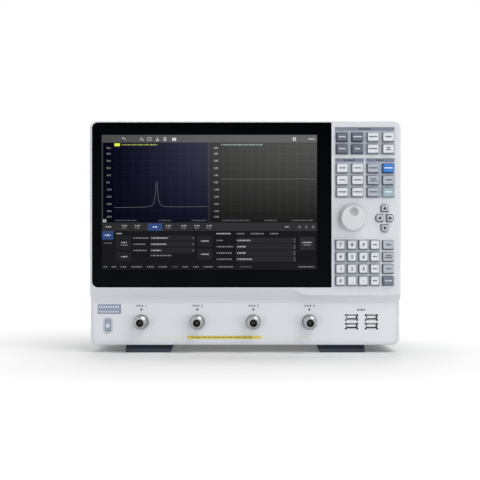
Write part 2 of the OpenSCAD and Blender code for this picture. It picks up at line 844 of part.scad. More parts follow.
module usb_sockets() {
    y0 = panel_y + 0.6;
    cx = x_side - usb_x - usb_pitch_x / 2;
    cz = z_base + usb_z - usb_pitch_z / 2;
    w = usb_pitch_x + usb_hole_w + 3;
    h = usb_pitch_z + usb_hole_h + 3;
    color([0.80, 0.81, 0.83]) {
        for (c = [0:1], r = [0:1])
            translate([x_side - usb_x - c * usb_pitch_x, y0, z_base + usb_z - r * usb_pitch_z])
                usb_shell(usb_w, usb_h, usb_depth, 0.4, 1.8);
        plate(y0 + usb_depth - E, y0 + usb_depth + 1.6) centred(cx, cz, w, h);
        for (x = [cx - w / 2 + 1.5, cx + w / 2 - 1.5])
            rod_y(x, cz, 1.5, panel_back, y0 + usb_depth);
    }
}

// ---- inner modules -------------------------------------------------------------------------

module receiver_module() {
    color([0.70, 0.71, 0.72]) {
        block(receiver_x0, receiver_x1, receiver_y0, receiver_y1, z_tray, z_tray + receiver_h);
        for (i = [0:7])
            block(receiver_x0 + 8, receiver_x1 - 8, receiver_y0 + 10 + 12 * i,
                receiver_y0 + 13 + 12 * i, z_tray + receiver_h - E, z_tray + receiver_h + 9);
    }
}

module main_board() {
    color([0.08, 0.30, 0.22]) {
        block(x_main - main_w / 2, x_main + main_w / 2, main_y, main_y + board_t,
            z_main - main_h / 2, z_main + main_h / 2);
        for (x = [-70, 0, 66], z = [-36, 30])
            block(x_main + x - chip_half, x_main + x + chip_half, main_y + board_t - E,
                main_y + board_t + chip_t, z_main + z - chip_half, z_main + z + chip_half);
        for (i = [0:6])
            block(x_main - fin_span / 2 + fin_pitch * i, x_main - fin_span / 2 + fin_t + fin_pitch * i,
                main_y + board_t + chip_t - 1, main_y + board_t + fin_h,
                z_main + 30 - fin_span / 2, z_main + 30 + fin_span / 2);
    }
}

module power_supply() {
    color([0.75, 0.76, 0.77]) difference() {
        block(supply_x0, supply_x1, supply_y0, supply_y1, z_tray, z_tray + supply_h);
        for (i = [0:8])
            block(supply_x0 + 6, supply_x1 - 6, supply_y0 + 8 + 9 * i, supply_y0 + 12 + 9 * i,
                z_tray + supply_h - 1.5, z_tray + supply_h + 1);
    }
}

// ---- case ----------------------------------------------------------------------------------

module sheet_outline(inset) {
    rounded(-x_sheet + inset, x_sheet - inset, z_sheet0 + inset, z_sheet1 - inset,
        sheet_r - min(inset, sheet_t));
}

// The folded sheet between bezel and rear panel, with an inward flange at the back
module sheet_ring() {
    difference() {
        plate(bezel_depth, y_back_in) sheet_outline(0);
        plate(bezel_depth - 1, y_back_in - sheet_t) sheet_outline(sheet_t);
        plate(y_back_in - 2 * sheet_t, y_back_in + 1) sheet_outline(flange_w);
    }
}

module cover_slots() {
    pitch = (case_depth - bezel_depth - 50) / 18;
    y_mid = (bezel_depth + y_back_in) / 2;
    for (i = [0:slot_count - 1])
        block(-x_sheet - 1, x_sheet + 1, y_mid + (i - (slot_count - 1) / 2) * pitch - slot_w / 2,
            y_mid + (i - (slot_count - 1) / 2) * pitch + slot_w / 2, z_seam + 40,
            z_seam + 40 + slot_len);
}

module top_cover() {
    half = recess_w / 2;
    color([0.80, 0.81, 0.83]) difference() {
        union() {
            difference() {
                sheet_ring();
                block(-x_sheet - 1, x_sheet + 1, bezel_depth - 1, y_back, z_base - 1, z_seam);
            }
            block(-half - sheet_t, half + sheet_t, recess_y - sheet_t,
                recess_y + recess_d + sheet_t, z_recess, z_sheet1);
            for (s = [-1, 1])
                rod_x(pivot_y, pivot_z, pivot_r + 3, s > 0 ? half : -half - boss_t,
                    s > 0 ? half + boss_t : -half);
        }
        block(-half, half, recess_y, recess_y + recess_d, z_recess + sheet_t, z_sheet1 + 1);
        rod_x(pivot_y, pivot_z, pivot_r + RUN, -half - boss_t - 1, half + boss_t + 1);
        cover_slots();
        side_screw_cuts();
        rear_screws_at() rod_y(0, 0, screw_r + RUN, y_back_in - 2 * sheet_t, y_back);
    }
}

module chassis_tray() {
    x_in = x_sheet - sheet_t;
    color([0.66, 0.67, 0.69]) difference() {
        union() {
            difference() {
                sheet_ring();
                block(-x_sheet - 1, x_sheet + 1, bezel_depth - 1, y_back, z_seam, z_top);
            }
            // tabs that the cover is screwed to
            for (s = [-1, 1], y = SIDE_SCREWS)
                block(s > 0 ? x_in - sheet_t : -x_in, s > 0 ? x_in : -x_in + sheet_t,
                    y - 9, y + 9, z_seam - 14, z_seam + 16);
        }
        side_screw_cuts();
        rear_screws_at() rod_y(0, 0, screw_r + RUN, y_back_in - 2 * sheet_t, y_back);
    }
}

side_screw_z = z_seam + 8;
head_r = 3.5;
head_t = 1.2;
SIDE_SCREWS = [for (k = [0:2]) bezel_depth + 24 + k * (case_depth - bezel_depth - 48) / 2];

module side_screw_cuts() {
    for (y = SIDE_SCREWS) {
        rod_x(y, side_screw_z, screw_r + RUN, -x_sheet - 1, x_sheet + 1);
        for (s = [-1, 1])
            rod_x(y, side_screw_z, head_r + FIT, s > 0 ? x_sheet - head_t : -x_sheet - 1,
                s > 0 ? x_sheet + 1 : -x_sheet + head_t);
    }
}

// Places of the rear screws, in the middle of the flange
module rear_screws_at() {
    edge = (flange_w + sheet_t) / 2;
    for (x = [-x_sheet / 3, x_sheet / 3], z = [z_sheet0 + edge, z_sheet1 - edge])
        translate([x, 0, z]) children();
    for (x = [-x_sheet + edge, x_sheet - edge], z = [z_seam + 30, z_top - 70])
        translate([x, 0, z]) children();
}

module case_screws() {
    color([0.70, 0.71, 0.73]) {
        rear_screws_at() {
            rod_y(0, 0, screw_r, y_back_in - sheet_t - 2, y_back);
            difference() {
                rod_y(0, 0, head_r, y_back, y_back + 2.2);
                rod_y(0, 0, 1.3, y_back + 0.9, y_back + 3);
            }
        }
        for (s = [0, 180], y = SIDE_SCREWS)
            translate([0, y, side_screw_z]) rotate([0, 0, s]) {
                rod_x(0, 0, screw_r, x_sheet - 2 * sheet_t - 2, x_sheet - head_t);
                difference() {
                    rod_x(0, 0, head_r, x_sheet - head_t, x_sheet);
                    rod_x(0, 0, 1.3, x_sheet - 0.8, x_sheet + 1);
                }
            }
    }
}

// ---- rear panel ----------------------------------------------------------------------------

function coax_at(i) = coax_x0 + i * coax_pitch;

module rear_panel() {
    color([0.78, 0.79, 0.81]) difference() {
        plate(y_back_in, y_back) sheet_outline(0);
        rear_screws_at() rod_y(0, 0, screw_r + 0.2, y_back_in - 1, y_back + 1);
        // finger guard of the fan: arcs between spokes
        for (k = [0:4])
            fan_ring_cut(fan_bore_r - 2 - k * 5.4);
        for (i = [0:coax_count - 1])
            rod_y(coax_at(i), rear_z, coax_r + 0.1, y_back_in - 1, y_back + 1);
        plate(y_back_in - 1, y_back + 1) {
            centred(inlet_x, (inlet_z + switch_z) / 2, inlet_frame_w - 4, inlet_frame_h - 4);
            centred(lan_x, rear_z, lan_w + 3.6, lan_h + 4.6);
            centred(usb_b_x, rear_z, 12.6, 11.6);
            centred(hdmi_x, rear_z, 16.6, 7);
        }
        // extra air slots
        for (i = [0:9])
            block(x_side - 150 + 8 * i, x_side - 146.6 + 8 * i, y_back_in - 1, y_back + 1,
                z_base + 130, z_base + 178);
    }
}

module fan_ring_cut(r) {
    spoke = 3.2;
    difference() {
        rod_y(fan_x, fan_z, r, y_back_in - 1, y_back + 1);
        rod_y(fan_x, fan_z, r - 3.4, y_back_in - 2, y_back + 2);
        for (a = [45, 135])
            translate([fan_x, 0, fan_z]) rotate([0, a, 0])
                block(-fan_size, fan_size, y_back_in - 2, y_back + 2, -spoke / 2, spoke / 2);
    }
}

module fan_frame() {
    half = fan_size / 2;
    strut_w = 4;
    color([0.12, 0.12, 0.13]) {
        difference() {
            plate(fan_y0, y_back_in) rounded(fan_x - half, fan_x + half, fan_z - half,
                fan_z + half, 4);
            rod_y(fan_x, fan_z, fan_bore_r, fan_y0 - 1, y_back_in + 1);
            for (x = [-1, 1], z = [-1, 1])
                rod_y(fan_x + x * (half - 4.3), fan_z + z * (half - 4.3), 2.2,
                    fan_y0 - 1, y_back_in + 1);
        }
        difference() {
            union() {
                rod_y(fan_x, fan_z, fan_boss_r, fan_y0, fan_y0 + fan_boss_t);
                for (a = [0, 90])
                    translate([fan_x, 0, fan_z]) rotate([0, a, 0])
                        block(-fan_bore_r - 1, fan_bore_r + 1, fan_y0, fan_y0 + 3,
                            -strut_w / 2, strut_w / 2);
                rod_y(fan_x, fan_z, 5, fan_y0, y_back_in - 8);
            }
            rod_y(fan_x, fan_z, 1.5 + RUN, fan_y0 - 1, y_back_in);
        }
    }
}

module fan_rotor() {
    y0 = fan_y0 + fan_boss_t + 0.6;
    y1 = y_back_in - 2;
    blade_r = fan_bore_r - 1;
    color([0.16, 0.16, 0.17]) {
        difference() {
            rod_y(fan_x, fan_z, hub_r, y0, y1);
            rod_y(fan_x, fan_z, hub_r - 1.6, y0 - 1, y1 - 2);
        }
        rod_y(fan_x, fan_z, 1.5, fan_y0 + 1, y1 - 1);
        for (i = [0:6])
            translate([fan_x, (y0 + y1) / 2, fan_z]) rotate([0, i * 360 / 7, 0])
                translate([hub_r - 0.6, 0, 0]) rotate([40, 0, 0])
                    translate([0, -0.7, -10]) cube([blade_r - hub_r - 3, 1.4, 20]);
    }
}

// ---- rear connectors -----------------------------------------------------------------------

module rear_coax() {
    color([0.74, 0.74, 0.76])
        for (i = [0:coax_count - 1]) {
            x = coax_at(i);
            difference() {
                union() {
                    rod_y(x, rear_z, coax_neck_r, y_back_in - coax_inside, y_back + coax_len - E);
                    rod_y(x, rear_z, coax_r, y_back + coax_len - coax_sleeve, y_back + coax_len);
                }
                rod_y(x, rear_z, coax_bore_r, y_back + coax_len - coax_bore, y_back + coax_len + 1);
            }
            difference() {
                rod_y(x, rear_z, coax_core_r, y_back + coax_len - coax_bore - 0.5,
                    y_back + coax_len - 1.5);
                rod_y(x, rear_z, coax_pin_r, y_back + coax_len - coax_bore + 1, y_back + coax_len);
            }
            translate([x, y_back, rear_z]) rotate([-90, 0, 0])
                cylinder(r = coax_nut_r, h = coax_nut_t, $fn = 6);
            rod_y(x, rear_z, coax_nut_r - 0.5, y_back_in - 3, y_back_in);
            bayonet_lugs(x);
        }
}

// Two lugs behind the sleeve that the plug seats on
module bayonet_lugs(x) {
    reach = coax_r + lug_out;
    translate([x - reach, y_back + coax_len - lug_back, rear_z]) rotate([0, 90, 0])
        difference() {
            cylinder(r = lug_r, h = 2 * reach);
            translate([0, 0, reach - coax_bore_r - 0.2])
                cylinder(r = lug_r + 0.1, h = 2 * (coax_bore_r + 0.2));
        }
}

// Mains inlet and the frame of its switch, in one housing
module mains_inlet() {
    z_mid = (inlet_z + switch_z) / 2;
    color([0.10, 0.10, 0.11]) {
        difference() {
            union() {
                plate(y_back, y_back + inlet_frame_t)
                    rounded(inlet_x - inlet_frame_w / 2, inlet_x + inlet_frame_w / 2,
                        z_mid - inlet_frame_h / 2, z_mid + inlet_frame_h / 2, 2);
                plate(y_back - inlet_depth - 2, y_back + E)
                    centred(inlet_x, z_mid, inlet_frame_w - 4.3, inlet_frame_h - 4.3);
            }
            plate(y_back + inlet_frame_t - inlet_depth, y_back + inlet_frame_t + 1)
                inlet_outline();
            plate(y_back + inlet_frame_t - 14, y_back + inlet_frame_t + 1)
                centred(inlet_x, switch_z, rocker_w + 2 * GAP, 2 * (rocker_half + 1.6));
            rod_x(y_back - rocker_in, switch_z, rocker_pin_r + RUN,
                inlet_x - rocker_w / 2 - 2.2, inlet_x + rocker_w / 2 + 2.2);
        }
    }
    color([0.75, 0.70, 0.55])
        for (p = [[-7, -2.2], [7, -2.2], [0, 2.4]])
            plate(y_back + inlet_frame_t - inlet_depth - 1, y_back + inlet_frame_t - 2)
                centred(inlet_x + p[0], inlet_z + p[1], 2, 4);
}

module inlet_outline() {
    w = inlet_w / 2;
    h = inlet_h / 2;
    cut = 4;
    translate([inlet_x, inlet_z])
        polygon([[-w, -h], [w, -h], [w, h - cut], [w - cut, h], [cut - w, h], [-w, h - cut]]);
}

// The switch's rocker at OFF: its two faces meet in a ridge, and its lower face stands out
module mains_rocker() {
    half = rocker_w / 2;
    color([0.14, 0.14, 0.15]) translate([0, y_back - rocker_in, switch_z]) {
        rotate([-rocker_tilt, 0, 0]) sill(inlet_x - half, inlet_x + half)
            polygon([[-rocker_in, -5], [rocker_out, -rocker_half], [rocker_out - 1, 0],
                [rocker_out, rocker_half], [-rocker_in, 5]]);
        rod_x(0, 0, rocker_pin_r, inlet_x - half - 1.6, inlet_x + half + 1.6);
    }
}

module data_sockets() {
    y1 = y_back + 0.4;
    y0 = y1 - jack_depth;
    board_z = rear_z - jack_board_z;
    color([0.76, 0.77, 0.79]) {
        // network jack
        difference() {
            plate(y0, y1) centred(lan_x, rear_z, lan_w + 3.2, lan_h + 4.2);
            plate(y1 - lan_depth, y1 + 1) centred(lan_x, rear_z, lan_w, lan_h);
        }
        // square device jack with its tongue
        difference() {
            plate(y0, y1) centred(usb_b_x, rear_z, 12, 11);
            plate(y1 - 10, y1 + 1) centred(usb_b_x, rear_z, 8.6, 7.8);
        }
        plate(y0 + 1, y1 - 1.2) centred(usb_b_x, rear_z, 5.4, 2.6);
        // video jack with its tongue
        difference() {
            plate(y0, y1) centred(hdmi_x, rear_z, 16, 6.4);
            plate(y1 - 10, y1 + 1) centred(hdmi_x, rear_z, 14.4, 4.8);
        }
        plate(y0 + 1, y1 - 1.2) centred(hdmi_x, rear_z, 11, 1.2);
        // board under the three jacks
        block(lan_x - 12, hdmi_x + 12, y0 - 4, y_back_in, board_z, board_z + 1.6);
        for (x = [usb_b_x, hdmi_x])
            block(x - 4, x + 4, y0, y_back_in - 2, board_z, rear_z - 2.6);
    }
}

// ---- feet, legs and handle -----------------------------------------------------------------

module both_sides() {
    children();
    mirror([1, 0, 0]) children();
}

module feet() {
    color([0.17, 0.19, 0.22]) both_sides() {
        // front foot with its slanted inner end
        intersection() {
            plate(foot_set - 1, foot_y1 + 1) polygon([[foot_x0 + 4, 0], [foot_x1 - 1, 0],
                [foot_x1, 1], [foot_x1 - 0.8, z_sheet0], [foot_x0 - 0.5, z_sheet0]]);
            sill(foot_x0 - 2, foot_x1 + 1) polygon([[foot_y1, 0], [foot_set + 0.8, 0],
                [foot_set, sole_t / 3], [foot_set, sole_t], [foot_set + 1, sole_t + 1],
                [foot_set + 1, z_base], [bezel_depth, z_base], [bezel_depth, z_sheet0],
                [foot_y1, z_sheet0]]);
        }
        // ears that hold the tilt leg
        difference() {
            for (x = [foot_x0 + 5, foot_x1 - ear_t])
                block(x, x + ear_t, foot_y1 - E, leg_y + 4, 1, z_sheet0);
            rod_x(leg_y, leg_z, leg_pin_r + RUN, foot_x0 + 4, foot_x1 + 1);
        }
        // rear corner feet: the lower pair also carries the instrument
        x1 = x_sheet;
        x0 = x1 - rear_foot_w;
        block(x0, x1, y_back, y_back + rear_foot_len, 0, z_sheet0 + 30);
        block(x0, x1, y_back - rear_foot_under, y_back + E, 0, z_sheet0);
        block(x0, x1, y_back, y_back + rear_foot_len, z_sheet1 - 34, z_sheet1);
    }
}

// Tilt leg folded flat under the instrument; it swings down about its pin
module tilt_leg() {
    x0 = foot_x0 + 5 + ear_t + GAP;
    x1 = foot_x1 - ear_t - GAP;
    rod_x(leg_y, leg_z, leg_t / 2 + 0.8, x0, x1);
    block(x0, x1, leg_y, leg_y + leg_len, leg_z - leg_t / 2, leg_z + leg_t / 2);
    rod_x(leg_y, leg_z, leg_pin_r, x0 - ear_t, x1 + ear_t);
}

module leg_right() {
    color([0.20, 0.22, 0.25]) tilt_leg();
}

module leg_left() {
    color([0.20, 0.22, 0.25]) mirror([1, 0, 0]) tilt_leg();
}

module carry_handle() {
    x_out = recess_w / 2 - 0.5;
    x_in = x_out - arm_t;
    z1 = z_sheet1 - handle_set;
    color([0.18, 0.20, 0.23]) {
        both_sides() {
            rod_x(pivot_y, pivot_z, 7, x_in, x_out);
            block(x_in, x_out, pivot_y, grip_y, pivot_z - arm_h / 2, pivot_z + arm_h / 2);
            rod_x(pivot_y, pivot_z, pivot_r, x_out - 1, x_out + boss_t);
        }
        sill(-x_out, x_out) rounded(grip_y - grip_w / 2, grip_y + grip_w / 2, z1 - grip_h, z1, 4);
    }
}

// ---- nodes ---------------------------------------------------------------------------------

front() {
    front_bezel();
    port_panel();
    display_glass();
    lcd_module();
    keypad_overlay();
    key_board();
    port_connectors();
    usb_sockets();
    receiver_module();
    rf_cables();
    main_board();
    power_supply();
    top_cover();
    chassis_tray();
    rear_panel();
    case_screws();
    feet();
    rear_coax();
    mains_inlet();
    data_sockets();
    fan_frame();
    fan_rotor();
    mains_rocker();
    carry_handle();
    leg_left();
    leg_right();
    tuning_knob();
    power_button();
    for (i = [0:7])
        response_key(i);
    for (i = [0:5])
        stimulus_key(i);
    for (i = [0:5])
        utility_key(i);
    for (i = [0:3])
        edit_key(i);
    for (i = [0:3])
        number_keys_row(i);
    for (i = [0:3])
        arrow_button(i);
}

module response_key(i) {
    color(i % 4 < 2 ? [0.43, 0.45, 0.51] : [0.90, 0.90, 0.91]) key(RESPONSE_AT[i]);
}

module stimulus_key(i) {
    color([0.90, 0.90, 0.91]) key(STIMULUS_AT[i]);
}

module utility_key(i) {
    color(i == 1 ? [0.2, 0.47, 0.88] : i == 5 ? [0.65, 0.79, 0.79] : [0.69, 0.70, 0.74])
        key(UTILITY_AT[i]);
}

module edit_key(i) {
    color(i == 3 ? [0.43, 0.45, 0.51] : [0.69, 0.70, 0.74]) key(EDIT_AT[i]);
}

module number_keys_row(i) {
    color([0.90, 0.90, 0.91])
        for (c = [0:3])
            key(NUMBER_AT[4 * i + c]);
}

module arrow_button(i) {
    color([0.75, 0.77, 0.80]) arrow_key(i);
}
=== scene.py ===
"""Bench vector network analyzer: finishes, printed marks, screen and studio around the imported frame.

The frame is in metres. Pieces are drawn in millimetres and scaled as their meshes are made.
X runs to the user's right, Y into the instrument and Z up.
"""
import json
import math

import bmesh
import bpy
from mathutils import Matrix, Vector


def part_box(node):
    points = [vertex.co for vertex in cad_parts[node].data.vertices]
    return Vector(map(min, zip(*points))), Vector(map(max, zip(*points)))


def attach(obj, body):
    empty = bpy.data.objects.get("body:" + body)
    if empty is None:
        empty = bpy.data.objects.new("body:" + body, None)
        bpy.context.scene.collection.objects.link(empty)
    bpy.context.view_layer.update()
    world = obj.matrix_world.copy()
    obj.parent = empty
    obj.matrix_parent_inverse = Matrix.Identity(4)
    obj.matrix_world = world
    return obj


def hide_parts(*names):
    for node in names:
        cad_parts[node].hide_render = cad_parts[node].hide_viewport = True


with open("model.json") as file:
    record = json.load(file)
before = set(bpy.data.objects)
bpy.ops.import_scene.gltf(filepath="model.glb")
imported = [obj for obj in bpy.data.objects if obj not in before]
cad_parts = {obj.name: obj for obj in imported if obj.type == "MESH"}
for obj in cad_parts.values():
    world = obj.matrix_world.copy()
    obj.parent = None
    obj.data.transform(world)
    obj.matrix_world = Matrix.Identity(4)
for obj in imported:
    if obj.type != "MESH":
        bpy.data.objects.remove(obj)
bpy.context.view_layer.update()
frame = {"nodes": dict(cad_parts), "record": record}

NODES = frame["nodes"]
BODY_OF = {n: b for b, ns in frame["record"]["behaviour"]["bodies"].items() for n in ns}
SLOT_OF = {s["node"]: s["material_slot"] for s in frame["record"]["subparts"]}
MM = 0.001


def box_of(node):
    """Low and high corner of a CAD node, in millimetres."""
    return [[c / MM for c in corner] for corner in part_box(node)]


def middle_of(node):
    """Middle (x, z) of a CAD node as the front shows it, then its width and height."""
    low, high = box_of(node)
    return (low[0] + high[0]) / 2, (low[2] + high[2]) / 2, high[0] - low[0], high[2] - low[2]


GLASS = box_of("display_glass")
LCD = box_of("lcd_module")
LEFT, _, SILL = box_of("front_bezel")[0]   # left side and lower edge of the front
FACE = GLASS[0][1]                         # plane of the glass and keypad
PANEL_FACE = box_of("port_panel")[0][1]    # plane of the port panel
REAR_FACE = box_of("rear_panel")[1][1]
LCD_RIM = 4                                # rim of the screen module around its lit area
KEY_LIP = 0.8                              # hidden flange around each key
PRINT_LIFT = 0.02                          # how far a printed layer stands off what is under it


# ---- colour ---------------------------------------------------------------------------------

def tone(red, green, blue):
    """A display colour in 0 to 255 as linear light."""
    def linear(v):
        v = v / 255
        return v / 12.92 if v <= 0.04045 else ((v + 0.055) / 1.055) ** 2.4
    return (linear(red), linear(green), linear(blue), 1.0)


PLAIN = (1, 1, 1, 1)
KEY_WHITE = tone(215, 218, 224)
KEY_GREY = tone(172, 177, 188)
KEY_DARK = tone(98, 103, 116)
ENTER_DARK = tone(111, 117, 131)
KEY_BLUE = tone(50, 110, 178)
KEY_TEAL = tone(136, 156, 163)
# painted shade on the left and lower sides of the arrow keys
ARROW_PAINTED_SHADE = tone(140, 144, 154)
ARROW_GREY = tone(186, 190, 199)
INK_DARK = tone(38, 40, 50)
INK_LIGHT = tone(222, 226, 234)


# ---- shader groups --------------------------------------------------------------------------

def add(tree, kind, given=None, **settings):
    """A new node with its settings, and its sockets by name or number as values or links."""
    node = tree.nodes.new(kind)
    for key, value in settings.items():
        setattr(node, key, value)
    for key, value in (given or {}).items():
        if isinstance(value, bpy.types.NodeSocket):
            tree.links.new(value, node.inputs[key])
        else:
            node.inputs[key].default_value = value
    return node


def math_node(tree, operation, a, b):
    return add(tree, "ShaderNodeMath", {0: a, 1: b}, operation=operation).outputs[0]


def noise(tree, vector, scale, detail, rough=0.55):
    """Noise in 0 to 1, and the same noise around zero."""
    given = {"Vector": vector, "Scale": scale, "Detail": detail, "Roughness": rough}
    made = add(tree, "ShaderNodeTexNoise", given).outputs["Fac"]
    return made, math_node(tree, "SUBTRACT", made, 0.5)


def group_tree(name, inputs):
    """A shader node group with its sockets: it gives a colour, a roughness and a height."""
    tree = bpy.data.node_groups.new(name, "ShaderNodeTree")
    kinds = {0: "Float", 3: "Vector", 4: "Color"}
    for label, value in inputs.items():
        size = len(value) if isinstance(value, tuple) else 0
        socket = tree.interface.new_socket(label, in_out="INPUT",
                                           socket_type="NodeSocket" + kinds[size])
        socket.default_value = value
    for label, size in (("Colour", 4), ("Roughness", 0), ("Height", 0)):
        tree.interface.new_socket(label, in_out="OUTPUT", socket_type="NodeSocket" + kinds[size])
    return tree, tree.nodes.new("NodeGroupInput").outputs


def close_group(tree, given, shade, rough_shift, height):
    """Joins a group's outputs: the colour by its shade, the roughness and its shift, the height."""
    shade = math_node(tree, "ADD", 1.0, shade)
    paint = add(tree, "ShaderNodeVectorMath", {0: given["Colour"], "Scale": shade},
                operation="SCALE")
    rough = math_node(tree, "ADD", given["Roughness"], rough_shift)
    add(tree, "NodeGroupOutput", {"Colour": paint.outputs[0], "Roughness": rough,
                                  "Height": height})
    return tree


def moulded_surface():
    """Fine moulded grain with slow patches of handling wear."""
    tree, given = group_tree("moulded surface", {
        "Colour": (0.8, 0.8, 0.8, 1), "Vector": (0.0, 0.0, 0.0), "Grain scale": 2600.0,
        "Grain": 0.03, "Patch": 0.03, "Roughness": 0.5, "Rough spread": 0.12})
    fine, fine_shift = noise(tree, given["Vector"], given["Grain scale"], 2.0)
    _, slow_shift = noise(tree, given["Vector"], 24.0, 4.0, 0.6)
    shade = math_node(tree, "ADD", math_node(tree, "MULTIPLY", fine_shift, given["Grain"]),
                      math_node(tree, "MULTIPLY", slow_shift, given["Patch"]))
    return close_group(tree, given, shade,
                       math_node(tree, "MULTIPLY", slow_shift, given["Rough spread"]), fine)


def turned_surface():
    """Fine tool marks around or along a machined piece, stretched by the Marks vector."""
    tree, given = group_tree("turned surface", {
        "Colour": (0.7, 0.7, 0.7, 1), "Vector": (0.0, 0.0, 0.0), "Marks": (60.0, 2400.0, 60.0),
        "Depth": 0.12, "Roughness": 0.3})
    stretch = add(tree, "ShaderNodeVectorMath", {0: given["Vector"], 1: given["Marks"]},
                  operation="MULTIPLY")
    marks, shift = noise(tree, stretch.outputs[0], 1.0, 3.0, 0.6)
    return close_group(tree, given, math_node(tree, "MULTIPLY", shift, given["Depth"]),
                       math_node(tree, "MULTIPLY", shift, 0.25), marks)


MOULDED = moulded_surface()
TURNED = turned_surface()
RELIEF = 0.05 * MM           # height of the surface relief at full strength


# ---- materials ------------------------------------------------------------------------------

def finish(name, group, given, values, bump=0.0, painted=True):
    """A material with one shared group in it: the group's inputs, then the shader's own values."""
    material = bpy.data.materials.new(name)
    material.use_nodes = True
    tree = material.node_tree
    shader = tree.nodes["Principled BSDF"]
    place = tree.nodes.new("ShaderNodeTexCoord").outputs["Object"]
    node = add(tree, "ShaderNodeGroup", {"Vector": place, **given}, node_tree=group)
    tree.links.new(node.outputs["Roughness"], shader.inputs["Roughness"])
    if painted:
        tree.links.new(node.outputs["Colour"], shader.inputs["Base Color"])
    if bump:
        relief = add(tree, "ShaderNodeBump", {"Strength": bump, "Distance": RELIEF,
                                              "Height": node.outputs["Height"]})
        tree.links.new(relief.outputs["Normal"], shader.inputs["Normal"])
    for label, value in values.items():
        shader.inputs[label].default_value = value
    return material, tree, shader, node, place


def plastic(name, colour, rough=0.45, grain=0.03, patch=0.03, scale=2600.0, bump=0.25,
            coat=0.0):
    """A moulded, printed or painted finish of one colour."""
    given = {"Colour": colour, "Grain": grain, "Patch": patch, "Grain scale": scale,
             "Roughness": rough}
    return finish(name, MOULDED, given, {"Specular IOR Level": 0.4, "Coat Weight": coat}, bump)[0]


def metal(name, colour, rough=0.3, marks=(60.0, 2400.0, 60.0), depth=0.2):
    """A bare metal with fine tool marks."""
    given = {"Colour": colour, "Marks": marks, "Depth": depth, "Roughness": rough}
    return finish(name, TURNED, given, {"Metallic": 1.0}, 0.2)[0]


def ink_of(tree):
    """The piece's own Ink colours."""
    return add(tree, "ShaderNodeAttribute", attribute_name="Ink").outputs["Color"]


def inked(name, rough, glow=0.0, grain=0.03, specular=0.4):
    """A material that takes its colour from the piece's own Ink attribute."""
    material, tree, shader, node, _ = finish(name, MOULDED, {"Grain": grain, "Roughness": rough},
                                             {"Specular IOR Level": specular}, 0.15)
    ink = ink_of(tree)
    tree.links.new(ink, node.inputs["Colour"])
    if glow:
        tree.links.new(ink, shader.inputs["Emission Color"])
        shader.inputs["Emission Strength"].default_value = glow
    return material


def lit_screen():
    """The lit picture behind the cover glass: it glows in its own colours under a clear coat."""
    material, tree, shader, _, _ = finish(
        "lit screen", MOULDED, {"Roughness": 0.12, "Rough spread": 0.05},
        {"Base Color": (0.0006, 0.0006, 0.0008, 1), "Emission Strength": 1.0,
         "Specular IOR Level": 0.015}, painted=False)
    tree.links.new(ink_of(tree), shader.inputs["Emission Color"])
    return material


def two_tones(dressed, axis, start, end, near, far):
    """Colours a finish by height or depth: near below the start, far beyond the end."""
    material, tree, _, node, place = dressed
    parts = add(tree, "ShaderNodeSeparateXYZ", {"Vector": place})
    step = add(tree, "ShaderNodeMapRange", {"Value": parts.outputs[axis],
                                            "From Min": start * MM, "From Max": end * MM})
    shade = add(tree, "ShaderNodeMix", data_type="RGBA")
    shade.inputs[6].default_value = near
    shade.inputs[7].default_value = far
    tree.links.new(step.outputs["Result"], shade.inputs["Factor"])
    tree.links.new(shade.outputs[2], node.inputs["Colour"])
    return material


def cover_glass():
    """Black printed glass with faint smears, a little paler towards its lower edge."""
    given = {"Grain": 0.0, "Patch": 0.3, "Roughness": 0.09, "Rough spread": 0.08}
    dressed = finish("cover glass", MOULDED, given, {"Specular IOR Level": 0.018})
    return two_tones(dressed, "Z", GLASS[0][2], GLASS[1][2], tone(10, 11, 13), tone(1, 2, 3))


def stepped_moulding():
    """Dark foot moulding, paler below a height of about 4.3 mm."""
    dressed = finish("foot moulding", MOULDED, {"Grain": 0.12, "Roughness": 0.55},
                     {"Specular IOR Level": 0.12}, 0.5)
    return two_tones(dressed, "Z", 4.1, 4.5, tone(63, 69, 82), tone(36, 41, 48))


def socket_metal():
    """Rear socket shells: bright at the rim, with painted shade inside their openings."""
    given = {"Marks": (900.0, 40.0, 900.0), "Depth": 0.2, "Roughness": 0.25}
    dressed = finish("socket shell", TURNED, given, {"Metallic": 1.0}, 0.2)
    rim = box_of("data_sockets")[1][1]
    # the dark tone inside the openings is painted shade
    return two_tones(dressed, "Y", rim - 1.0, rim - 0.2, tone(44, 45, 48), tone(206, 207, 210))


SHELL = plastic("bezel plastic", tone(211, 214, 219), rough=0.46, bump=0.3)
PLATE = plastic("panel plastic", tone(219, 222, 227), rough=0.4, grain=0.02)
FILM = plastic("overlay film", tone(174, 181, 191), rough=0.55, grain=0.05, scale=4200.0)
COVER = plastic("powder coat", tone(196, 198, 200), rough=0.5, grain=0.07, scale=1500.0, bump=0.5)
REAR_PAINT = plastic("rear paint", tone(186, 188, 191), rough=0.42, grain=0.05, bump=0.35)
RUBBER = plastic("dark moulding", tone(44, 49, 58), rough=0.55, grain=0.12, bump=0.5)
FOOT = stepped_moulding()
GRIP = plastic("soft grip", tone(52, 56, 64), rough=0.62, grain=0.15, scale=1800.0, bump=0.6)
BLACK = plastic("black plastic", tone(26, 26, 28), rough=0.42, grain=0.12)
GLOSS_BLACK = plastic("glossy black", tone(22, 22, 24), rough=0.2, grain=0.05, coat=0.5)
